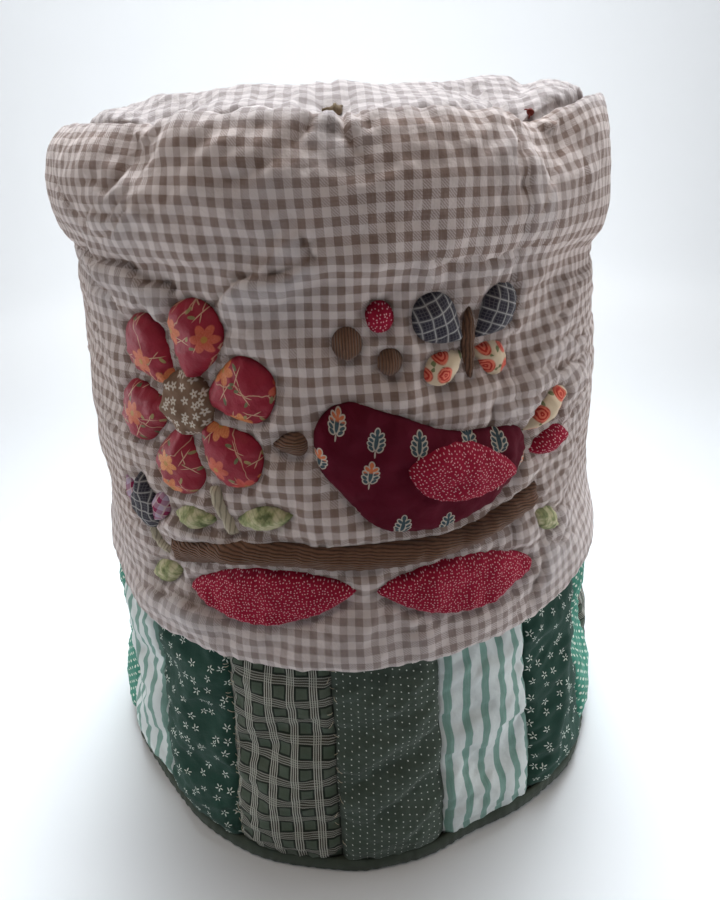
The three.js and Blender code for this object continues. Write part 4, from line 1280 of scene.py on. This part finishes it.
crown_azimuth, edge, nominal = crown_place(*round_grid(crown_cells))
crown_edge = edge
cell = (2 * tie_radius / crown_cells,) * 2
detail = 0.5 * soft_noise(edge.shape, cell, 15, 15, 31) + 0.9 * soft_noise(edge.shape, cell, 44, 44, 32)
pleats = np.append(soft_noise((1, 360), (1, 1), 4.5, 1e9, 33)[0], 0)
detail += 1.1 * np.interp(crown_azimuth % 360, np.arange(361), pleats) * np.exp(-edge / 13)
for tie in ties:
    tie_side = arc(crown_azimuth - tie["azimuth"], tie_radius)
    detail += tie_creases(tie_side, edge, depth=2.0 + 0.35 * tie["sink"], open_by=0.3, reach=30)
for crease in crown_creases:
    beside, behind = turned(nominal[..., 0], nominal[..., 1], crease["facing"])
    off = -behind - crease["out"]
    detail -= crease["deep"] * bell(off / crease["across"]) * bell(beside / crease["along"])
crown_front = pushed(crown_front, detail * ease(edge / 3 + 0.15), closed=False)
crown_back = nominal.copy()
crown_back[..., 2] = np.minimum(crown_under, nominal[..., 2] - 3)
crown_uv = nominal[..., :2] * mm * check / crown_check
crown = closed_slab("crown_cloth", crown_front, crown_back, crown_uv, fabrics["gingham"])
# Painted shade along the crown's seam.
paint(crown, "groove_shade", 0.9 * bell(edge / 3))
# Painted light: the whole crown is painted paler, as where the light from above falls on it.
paint(crown, "painted_light", np.full(edge.shape, 0.34))
finish_padded(crown, 0.7, "gingham", "crown")

# %% [markdown]
# ## The patchwork band
#
# Eighteen panels of five green cottons are sewn side by side and quilted. The whole band is crumpled as
# one cloth that is held at its seams, and is then cut into its panels, so that their folds meet at the
# seams. Along each seam the cloth dips, and small puckers lie across it.

# %% The band's line, its waves and its folds
panel_count, first_seam = 18, -45.5
panel_low, panel_high = 9.3, band_top - 0.3
panel_pad = 4.5
band_reference = 175
band_outside = table(
    "radius height",
    (184.2, 0), (183.6, 24), (181.4, 46), (178.2, 68),
    (174.4, 90), (171.0, 110), (168.4, 132), (165.6, 153),
)
hem_waves = rows_of(
    "azimuth out half",
    (-72, 1.5, 10), (-50, -3.0, 10), (-23, 2.2, 15), (-2, 1.2, 5), (22, -4.4, 11), (48, 4.0, 11),
    (70, -1.8, 9), (92, 1.0, 9), (118, 3.0, 14), (152, -3.4, 14), (-170, 2.4, 13), (-136, -2.8, 14),
    (-102, 2.6, 13),
)
band_folds = rows_of(
    "azimuth height out along across tilt",
    (-37, 96, 1.4, 46, 9, 78),
    (-18, 98, -1.4, 34, 9, 44),
    (-14, 62, 1.6, 40, 10, 40),
    (3, 114, -3.0, 26, 6, 24),
    (4, 100, 3.0, 30, 7, 24),
    (6, 86, -2.4, 30, 6, 28),
    (5, 72, 2.8, 30, 7, 28),
    (7, 58, -2.4, 28, 6, 30),
    (9, 42, 2.0, 28, 7, 30),
    (44, 84, 2.6, 50, 5, 76),
    (48, 84, -2.0, 50, 6, 76),
    (27, 98, 1.8, 30, 13, 20),
    (26, 66, -1.8, 30, 13, 16),
    (46, 84, 2.0, 44, 12, 70),
    (65, 90, -11.4, 32, 34, 0),
    (-71, 88, -9.6, 36, 40, 0),
    (92, 80, 2.0, 46, 11, 64),
    (126, 70, -2.0, 40, 12, 30),
    (160, 92, 2.0, 44, 12, -60),
    (-162, 66, -2.0, 40, 12, 24),
    (-124, 88, 2.0, 42, 12, 62),
    (-88, 72, -1.8, 40, 12, -34),
)


def hem_wave(azimuth):
    """How far the hem stands out or in at azimuths."""
    return sum(wave["out"] * bell(turn(azimuth - wave["azimuth"]) / wave["half"]) for wave in hem_waves)


def seam_place(azimuth):
    """The share of the way across its panel, from seam to seam, at azimuths."""
    return (azimuth - first_seam) / (360 / panel_count) % 1


def band_radius(azimuth, height, puff=0.0):
    """The band's outer radius; `puff` is 0 at a panel's seams and 1 in its middle."""
    fade = 1 - height / band_top
    radius = np.interp(height, band_outside["height"], band_outside["radius"])
    folds = folds_at(band_folds, azimuth, height) * np.sqrt(np.clip(fade, 0, 1))
    return radius + hem_wave(azimuth) * fade + 1.6 * puff * np.clip(4 * fade, 0, 1) + folds


# %% The band, crumpled
panel_cells, band_rows = 16, 37
azimuth = first_seam + np.arange(panel_count * panel_cells) * 360 / (panel_count * panel_cells)
height = np.linspace(panel_low, panel_high, band_rows)[:, None]
puff = np.sin(np.pi * seam_place(azimuth)) ** 0.6
smooth_band = around(azimuth, band_radius(azimuth, height, puff), height)
hold = np.where(np.arange(len(azimuth)) % panel_cells == 0, 0.9, free) + np.zeros_like(height)
hold[:2], hold[-2:] = held, held
moved = crumpled(smooth_band, hold, growth=0.025, stiffness=50) - smooth_band
band_front = finer(smooth_band + band_crumple * moved, 2)

# %% Seams and puckers of the band
azimuth = first_seam + np.arange(2 * len(azimuth)) * 360 / (2 * len(azimuth))
height = np.linspace(panel_low, panel_high, 2 * band_rows - 1)[:, None]
cell = (height[1, 0] - height[0, 0], math.radians(azimuth[1] - azimuth[0]) * band_reference)
shape = (len(height), len(azimuth))
seam_side = (seam_place(azimuth) + 0.5) % 1 - 0.5
seam_away = np.abs(seam_side) * 2 * math.pi * band_reference / panel_count
seam_index = np.round((azimuth - first_seam) * panel_count / 360)
puckers = np.sin(2 * np.pi * height / 7.2 + 2.4 * soft_noise(shape, cell, 30, 24, 41) + seam_index * 1.7)
detail = -1.7 * bell(seam_away / 2.2) + 0.55 * puckers * np.exp(-seam_away / 6) * ease(seam_away / 2)
detail = detail + 0.7 * soft_noise(shape, cell, 26, 11, 42, tilt=28)
detail += 0.35 * soft_noise(shape, cell, 11, 9, 43)
detail += 0.8 * soft_noise(shape, cell, 9, 60, 44) * np.exp(-(panel_high - height) / 9)
detail += 0.6 * soft_noise(shape, cell, 8, 60, 45) * np.exp(-(height - panel_low) / 7)
detail -= 1.2 * bell((height - panel_low) / 2.5)
band_front = pushed(band_front, detail)
inner_radius = (band_radius(azimuth, height) - panel_pad) + np.zeros_like(azimuth)
band_back = around(azimuth, inner_radius, height)

# %% Cut into panels
panel_fabrics = ["green_sprig", "green_plaid", "green_pin_dot", "green_stripe", "green_sprig", "teal_dot",
                 "green_plaid", "green_stripe", "green_pin_dot", "green_sprig", "teal_dot", "green_stripe",
                 "green_plaid", "green_sprig", "green_pin_dot", "green_stripe", "teal_dot", "green_stripe"]
fine_cells = 2 * panel_cells
panel_half, cloth_apart = 30.5, 300   # half a panel's width, and how far apart two panels are cut
grain = np.random.default_rng(5)
for index, fabric in enumerate(panel_fabrics):
    columns = (index * fine_cells + np.arange(fine_cells + 1)) % len(azimuth)
    front, back = band_front[:, columns], band_back[:, columns]
    widths = np.linspace(-panel_half, panel_half, fine_cells + 1)
    slant = math.radians(grain.uniform(-2, 2))
    uv = np.stack(np.broadcast_arrays(
        widths + height * slant + grain.uniform(-4, 4),
        height + cloth_apart * index - widths * slant), -1) * mm
    name = f"panel_{index + 1:02d}"
    panel = closed_slab(name + "_cloth", front, back, uv, fabrics[fabric])
    finish_padded(panel, 0.4, fabric, name)
print("band:", panel_count, "panels of", fine_cells * (len(height) - 1), "cells")

# %% [markdown]
# ## The binding
#
# A strip of dark cotton is folded round the raw edges of the band. It is a ring with a rounded section
# that lies flat where the cover stands, and it is drawn in a little at each stitch.

# %% Binding
binding_line = table(  # outwards and up from the band's foot, once round the fold
    "out height",
    (-3.2, 0.0), (-1.2, 0.0), (0.4, 0.6), (1.2, 2.4), (1.3, 4.6), (0.9, 6.8), (0.2, 8.6), (-1.0, 9.6),
    (-3.0, 9.4), (-4.8, 8.6), (-5.6, 6.5), (-5.7, 4.0), (-5.4, 1.6), (-4.6, 0.0),
)
binding_columns = 720
azimuth = np.arange(binding_columns) * 0.5
shape, cell = (len(binding_line["out"]), binding_columns), (2.0, 1.6)
pull = soft_noise(shape, cell, 7, 60, 51)
fold_out, fold_up = binding_line["out"][:, None], binding_line["height"][:, None]
outer = np.clip(fold_out + 4, 0, 5) / 5
wider = bell(turn(azimuth - 42) / 34) * (np.arange(len(fold_out))[:, None] < 8)
out = fold_out + 0.35 * pull * outer + 0.5 * soft_noise(shape, cell, 60, 90, 52) * outer
out += 0.7 * wider * (fold_up > 6)
rise = fold_up * (1 + 0.5 * wider)
rise += 0.5 * soft_noise(shape, cell, 34, 90, 53) * (fold_up > 5)
binding_points = around(azimuth, band_radius(azimuth, 0.0) + out, rise)
section = np.append(0, np.cumsum(np.hypot(np.diff(binding_line["out"]), np.diff(binding_line["height"]))))
binding_uv = ring_uv(np.append(azimuth, 360) * 3.2, np.append(section, section[-1] + 1.4))
binding = closed_ring("hem_binding_cloth", binding_points, binding_uv, fabrics["binding_cotton"])
finish_padded(binding, 0.3, "binding_cotton", "hem_binding")

# %% [markdown]
# ## The applique pieces
#
# Each piece is cut, its edge is turned under, and it is sewn down over a little wadding. So it rises
# steeply from its stitch line and is softly round on top. Its points are spread evenly inside its outline
# and joined by a Delaunay net, and then they are laid on the wall by their distance from the edge.

# %% The wall under the applique
step, under_low, under_high = 2.0, 170, 352
sample_s = np.arange(-150, 126, step)
sample_z = np.arange(under_low, under_high, step)
under = np.full((len(sample_z), len(sample_s)), np.nan)
wall_s = arc(wall_azimuth)
order = np.argsort(wall_s)
body_rows = slice(2, np.searchsorted(wall_front[:100, 0, 2], under_high))
for column_s in range(len(sample_s)):
    near = order[np.searchsorted(wall_s[order], sample_s[column_s])]
    line = wall_front[body_rows, near]
    under[:, column_s] = np.interp(sample_z, line[:, 2], np.hypot(line[:, 0], line[:, 1]))


def blurred(grid, size):
    """The grid with soft features smaller than `size` cells taken out."""
    reach = np.arange(-3 * size, 3 * size + 1)
    weights = bell(reach / size) / bell(reach / size).sum()
    padded = np.pad(grid, 3 * size, mode="edge")
    rows = np.apply_along_axis(lambda line: np.convolve(line, weights, "valid"), 1, padded)
    return np.apply_along_axis(lambda line: np.convolve(line, weights, "valid"), 0, rows)


def read(grid, s, z):
    """The grid's values at places on the wall, in between its points."""
    column = np.clip((s - sample_s[0]) / step, 0, len(sample_s) - 1.001)
    row = np.clip((z - sample_z[0]) / step, 0, len(sample_z) - 1.001)
    c, r = column.astype(int), row.astype(int)
    a, b = column - c, row - r
    return (grid[r, c] * (1 - a) * (1 - b) + grid[r, c + 1] * a * (1 - b)
            + grid[r + 1, c] * (1 - a) * b + grid[r + 1, c + 1] * a * b)


# %% One padded piece
piece_noise = soft_noise(under.shape, (step, step), 12, 10, 61) * 0.6
piece_noise += soft_noise(under.shape, (step, step), 26, 20, 62) * 0.7


edge_rise, pad_rise, edge_sunk = 3.0, 3.6, 0.7   # of a piece: its turned edge, its wadding, its stitch line
piece_depth = 1.6                                # how far its underside reaches into the wall


def loft(away, along, size, seed):
    """How high a piece stands at distances inside its edge; small pieces are flatter."""
    plump = min(1.0, 0.45 + size / 40)
    edge = 1 - np.exp(-away / 1.5)
    pucker = 0.5 * np.sin(along * 2 * np.pi / 6.8 + seed) * np.exp(-away / 4.5) * ease(away / 1.0)
    return -edge_sunk + edge_rise * edge + plump * pad_rise * (1 - np.exp(-away / 9)) + pucker


def net(outline, spacing=1.5):
    """Points inside an outline, after the outline's own, and the triangles between them."""
    low, high = outline.min(0), outline.max(0)
    rows = np.arange(low[1], high[1], spacing * 0.87)
    grid = np.array([(s + (index % 2) * spacing / 2, z) for index, z in enumerate(rows)
                     for s in np.arange(low[0], high[0], spacing)])
    inside = grid[from_outline(grid, outline)[0] < -spacing * 0.6]
    points = np.concatenate([outline, inside])
    ring = list(range(len(outline)))
    made = delaunay_2d_cdt([Vector(point) for point in points], [], [ring], 1, 1e-6)
    return np.array([tuple(point) for point in made[0]]), np.array(made[2])


def size_of(outline):
    """The side of a square as large as the outline's box."""
    return math.sqrt(np.ptp(outline[:, 0]) * np.ptp(outline[:, 1]))


def runs_clockwise(ring):
    """Whether a closed line of points runs clockwise."""
    after = np.roll(ring, -1, 0)
    return (ring[:, 0] * after[:, 1] - ring[:, 1] * after[:, 0]).sum() < 0


def padded_piece(piece, ground, seed):
    """One applique piece as a closed mesh that lies on `ground`."""
    outline = piece["outline"]
    flat, triangles = net(outline)
    away, along = from_outline(flat, outline)
    away = np.maximum(-away, 0)
    size = size_of(outline)
    s, z = flat.T
    soft = read(piece_noise, s, z) * ease(away / 3)
    top = read(ground, s, z) + loft(away, along, size, seed) + soft
    azimuth = np.degrees(s / fold_reference)
    front, back = around(azimuth, top, z), around(azimuth, read(ground, s, z) - piece_depth, z)
    if runs_clockwise(flat[triangles[0]]):
        triangles = triangles[:, ::-1]
    edge = np.arange(len(outline))
    after = np.roll(edge, -1)
    count = len(flat)
    lower, upper = (edge, edge + count, after + count), (edge, after + count, after)
    sides = np.concatenate([np.stack(lower, -1), np.stack(upper, -1)])
    if runs_clockwise(flat[:len(outline)]):
        sides = sides[:, ::-1]
    faces = np.concatenate([triangles, triangles[:, ::-1] + count, sides])
    uv = np.stack(turned(s, z, piece["grain"]), -1) * mm
    uv = np.concatenate([uv, uv])[faces.ravel()]
    points, fabric = np.concatenate([front, back]), fabrics[piece["slot"]]
    return new_mesh(piece["name"] + "_cloth", points, faces, uv, fabric)


# %% All the pieces, those on the wall first
ground = blurred(np.maximum(under, blurred(under, 2)), 1)
place_s, place_z = np.meshgrid(sample_s, sample_z)
places = np.stack([place_s.ravel(), place_z.ravel()], -1)
for level in (1, 2):
    raised = ground.copy()
    for seed, piece in enumerate(applique):
        if piece["level"] != level:
            continue
        cloth = padded_piece(piece, ground, seed)
        finish_padded(cloth, 0.4, piece["slot"], piece["name"])
        away, _ = from_outline(places, piece["outline"])
        away = away.reshape(place_s.shape)
        height = loft(np.maximum(-away, 0), 0, size_of(piece["outline"]), 0)
        raised = np.where(away < 0, ground + height, raised)
    ground = blurred(raised, 1)

# %% [markdown]
# ## Thread
#
# Strong thread is drawn through the cover at each tie, and it ends in a knot with two short tails on the
# crown's seam. One knot is a ball, a turn of thread round it and two tails that are drawn out of small
# circles. Where the plaid frays, short loose threads lie across its seam.

# %% A thread's finish and places on the crown
fabrics["cream_thread"] = plain_cotton("cream_thread", (0.42, 0.36, 0.25), (0.60, 0.53, 0.40), 0.3)
fabrics["olive_thread"] = plain_cotton("olive_thread", (0.150, 0.105, 0.062), (0.240, 0.175, 0.110), 0.3)
fabrics["red_thread"] = plain_cotton("red_thread", (0.13, 0.020, 0.015), (0.20, 0.040, 0.030), 0.3)
crown_normals = normals_of(crown_front, closed=False)


def crown_spot(azimuth, inward):
    """A point of the crown some mm in from its edge, and the way out of the cloth there."""
    miss = np.hypot(arc(crown_azimuth - azimuth, tie_radius), crown_edge - inward)
    pick = np.unravel_index(miss.argmin(), miss.shape)
    return crown_front[pick], crown_normals[pick]


def settled(piece, place, out, lean, fabric):
    """Moves a small modelled piece's points to their place, lays cloth coordinates on it and finishes it."""
    upright = Vector(out).to_track_quat("Z", "Y").to_matrix().to_4x4()
    piece.data.transform(Matrix.Translation(Vector(place * mm)) @ upright @ Matrix.Rotation(lean, 4, "Z"))
    while piece.data.uv_layers:
        piece.data.uv_layers.remove(piece.data.uv_layers[0])
    layer = piece.data.uv_layers.new(name="cloth")
    points = np.array([piece.data.vertices[loop.vertex_index].co for loop in piece.data.loops])
    layer.uv.foreach_set("vector", (points[:, :2] + points[:, 2:]).astype(np.float32).ravel())
    piece.data.materials.append(fabrics[fabric])
    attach(piece, "root")


# %% The knots
def thread_knot(name, place, out, size, lean, fabric, slot):
    """A knot `size` mm in radius: a ball, a turn of thread round it and two tails."""
    bpy.ops.object.select_all(action="DESELECT")
    bpy.ops.mesh.primitive_uv_sphere_add(segments=20, ring_count=12, radius=size * mm)
    knot = bpy.context.object
    knot.name = name
    bpy.ops.object.mode_set(mode="EDIT")
    bpy.ops.transform.resize(value=(1.2, 0.9, 0.75), center_override=(0, 0, 0))
    bpy.ops.mesh.primitive_torus_add(
        major_segments=24, minor_segments=8, major_radius=0.78 * size * mm, minor_radius=0.30 * size * mm,
        rotation=(0.5, 1.2, 0))
    for side in (-1, 1):
        bpy.ops.mesh.select_all(action="DESELECT")
        bpy.ops.mesh.primitive_circle_add(
            vertices=8, radius=0.20 * size * mm, fill_type="NGON", rotation=(0, math.pi / 2, 0.6 * side))
        for drop in (0.2, -0.1, -0.35):
            ahead = (0.62 * size * side * mm, 0.34 * size * mm, drop * size * mm)
            bpy.ops.mesh.extrude_region_move(TRANSFORM_OT_translate={"value": ahead})
    bpy.ops.object.mode_set(mode="OBJECT")
    bpy.ops.object.shade_smooth()
    settled(knot, place, out, lean, fabric)


knots = rows_of(
    "name azimuth inward size lean fabric slot",
    ("front_knot", 1, 13.0, 2.5, 0.2, "olive_thread", "brown_corduroy"),
    ("right_front_knot", 43.5, 4.0, 1.6, 1.9, "red_thread", "red_pebble"),
    ("left_front_knot", -33, 8.0, 1.3, 0.9, "cream_thread", "ecru_ticking"),
    ("right_knot", 91, 4.0, 1.5, 2.2, "cream_thread", "ecru_ticking"),
    ("right_back_knot", 137, 4.0, 1.5, 0.4, "olive_thread", "brown_corduroy"),
    ("back_knot", -176, 4.0, 1.5, 1.3, "cream_thread", "ecru_ticking"),
    ("left_back_knot", -131, 4.0, 1.5, 2.8, "olive_thread", "brown_corduroy"),
    ("left_knot", -86, 4.0, 1.5, 0.7, "cream_thread", "ecru_ticking"),
)
for row in knots:
    place, out = crown_spot(row.pop("azimuth"), row.pop("inward"))
    thread_knot(place=place + 0.45 * row["size"] * out, out=out, **row)

# %% Loose threads on the plaid's seams
bpy.ops.object.select_all(action="DESELECT")
bit_radius, bit_length = 0.17, 4.4
bpy.ops.mesh.primitive_cylinder_add(
    vertices=6, radius=bit_radius * mm, depth=bit_length * mm, rotation=(0, math.pi / 2, 0))
thread_bit = bpy.context.object
bpy.ops.object.mode_set(mode="EDIT")
bpy.ops.mesh.select_all(action="SELECT")
bpy.ops.mesh.subdivide(number_cuts=2)
bpy.ops.object.mode_set(mode="OBJECT")
bpy.ops.object.transform_apply(location=False, rotation=True, scale=False)
bit_points = np.array([vertex.co for vertex in thread_bit.data.vertices]) / mm
bit_points[:, 2] += 0.5 * np.cos(bit_points[:, 0] / (bit_length / 2) * np.pi / 2)
bit_faces = [list(face.vertices) for face in thread_bit.data.polygons]
bpy.data.objects.remove(thread_bit)

fray = np.random.default_rng(71)
band_normals = normals_of(band_front)
for name, seam in (("left_fray", 1), ("right_fray", 2)):
    points, faces = [], []
    count = 26 if seam == 1 else 14
    for index in range(count):
        column = int(seam * fine_cells + fray.integers(-1, 2)) % band_front.shape[1]
        row = int(len(band_front) * (1 - 0.04 - 0.92 * (index / count) ** 1.3))
        place, out = band_front[row, column], band_normals[row, column]
        beside = np.array([-out[1], out[0], 0])
        beside /= np.linalg.norm(beside)
        above = np.cross(out, beside)
        slant, size = fray.uniform(-0.9, 0.9), fray.uniform(0.6, 1.1)
        along = beside * math.cos(slant) + above * math.sin(slant)
        across = above * math.cos(slant) - beside * math.sin(slant)
        bit = bit_points * (size, 1, 1)
        faces += [[corner + len(points) * len(bit_points) for corner in face] for face in bit_faces]
        points.append(place + out * 0.35 + bit[:, :1] * along + bit[:, 1:2] * across + bit[:, 2:] * out)
    flat = np.concatenate(points)
    corner_uv = np.concatenate([flat[face][:, [0, 2]] for face in faces]) * mm
    threads = new_mesh(name, flat, faces, corner_uv, fabrics["cream_thread"])
    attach(threads, "root")
    print(name, "threads:", count)

# %% [markdown]
# ## The studio
#
# The cover stands on a pale floor that curves up all round it like a shallow bowl, so that no horizon
# shows from any side. A soft light above and behind shapes the crown and the roll, and a small warm one,
# high in front, draws the creases. Two low lights at the sides brighten the edges of the cover, and a
# large one behind it is for the floor and the backdrop.

# %% Floor
flat_radius, bend_radius, bend_step, upright = 1.6, 1.4, math.radians(10), 3
bpy.ops.object.select_all(action="DESELECT")
bpy.ops.mesh.primitive_circle_add(vertices=96, radius=flat_radius, fill_type="NGON", location=(0, 0, 0))
floor = bpy.context.object
floor.name = "floor"
bpy.ops.object.mode_set(mode="EDIT")
bpy.ops.mesh.select_mode(type="VERT")
bpy.ops.mesh.select_all(action="SELECT")
bpy.ops.mesh.select_mode(type="EDGE")
bpy.ops.mesh.region_to_loop()
for bend in bend_step * np.arange(1, 10):
    before = bend - bend_step
    wider = (flat_radius + bend_radius * math.sin(bend)) / (flat_radius + bend_radius * math.sin(before))
    higher = bend_radius * (math.cos(before) - math.cos(bend))
    bpy.ops.mesh.extrude_edges_move(TRANSFORM_OT_translate={"value": (0, 0, higher)})
    bpy.ops.transform.resize(value=(wider, wider, 1), center_override=(0, 0, 0))
bpy.ops.mesh.extrude_edges_move(TRANSFORM_OT_translate={"value": (0, 0, upright)})
bpy.ops.object.mode_set(mode="OBJECT")
bpy.ops.object.shade_smooth()
paper = bpy.data.materials.new("pale_floor")
paper.use_nodes = True
paper_inputs = paper.node_tree.nodes["Principled BSDF"].inputs
paper_inputs["Base Color"].default_value = (0.68, 0.68, 0.69, 1)
paper_inputs["Roughness"].default_value = 0.9
floor.data.materials.append(paper)


# %% Lights
def soft_light(name, place, size, power, tint):
    """A square light that looks at the middle of the cover."""
    data = bpy.data.lights.new(name, "AREA")
    data.size, data.energy, data.color = size, power, tint
    lamp = bpy.data.objects.new(name, data)
    bpy.context.scene.collection.objects.link(lamp)
    lamp.location = place
    lamp.visible_camera = False
    lamp.rotation_euler = (Vector((0, 0, 0.25)) - Vector(place)).to_track_quat("-Z", "Y").to_euler()
    return lamp


overhead = soft_light("overhead", (0.1, 0.55, 1.85), 1.0, 8.2, (0.86, 0.94, 1.0))
overhead.data.spread = math.radians(50)
soft_light("front", (-0.2, -0.5, 1.9), 0.4, 5.1, (1.0, 0.85, 0.70))
soft_light("left", (-1.5, 0.05, 0.28), 0.8, 11.6, (0.92, 0.97, 1.0))
soft_light("right", (1.5, -0.02, 0.26), 0.8, 14, (0.95, 0.98, 1.0))
backdrop_light = soft_light("backdrop", (0, 1.1, 1.4), 1.6, 48, (0.92, 0.97, 1.0))
backdrop_light.rotation_euler = (math.radians(58), 0, 0)
world = bpy.data.worlds.new("world")
bpy.context.scene.world = world
world.use_nodes = True
world.node_tree.nodes["Background"].inputs["Color"].default_value = (1, 1, 1, 1)
world.node_tree.nodes["Background"].inputs["Strength"].default_value = 0.04
bpy.context.scene.view_settings.view_transform = "Standard"
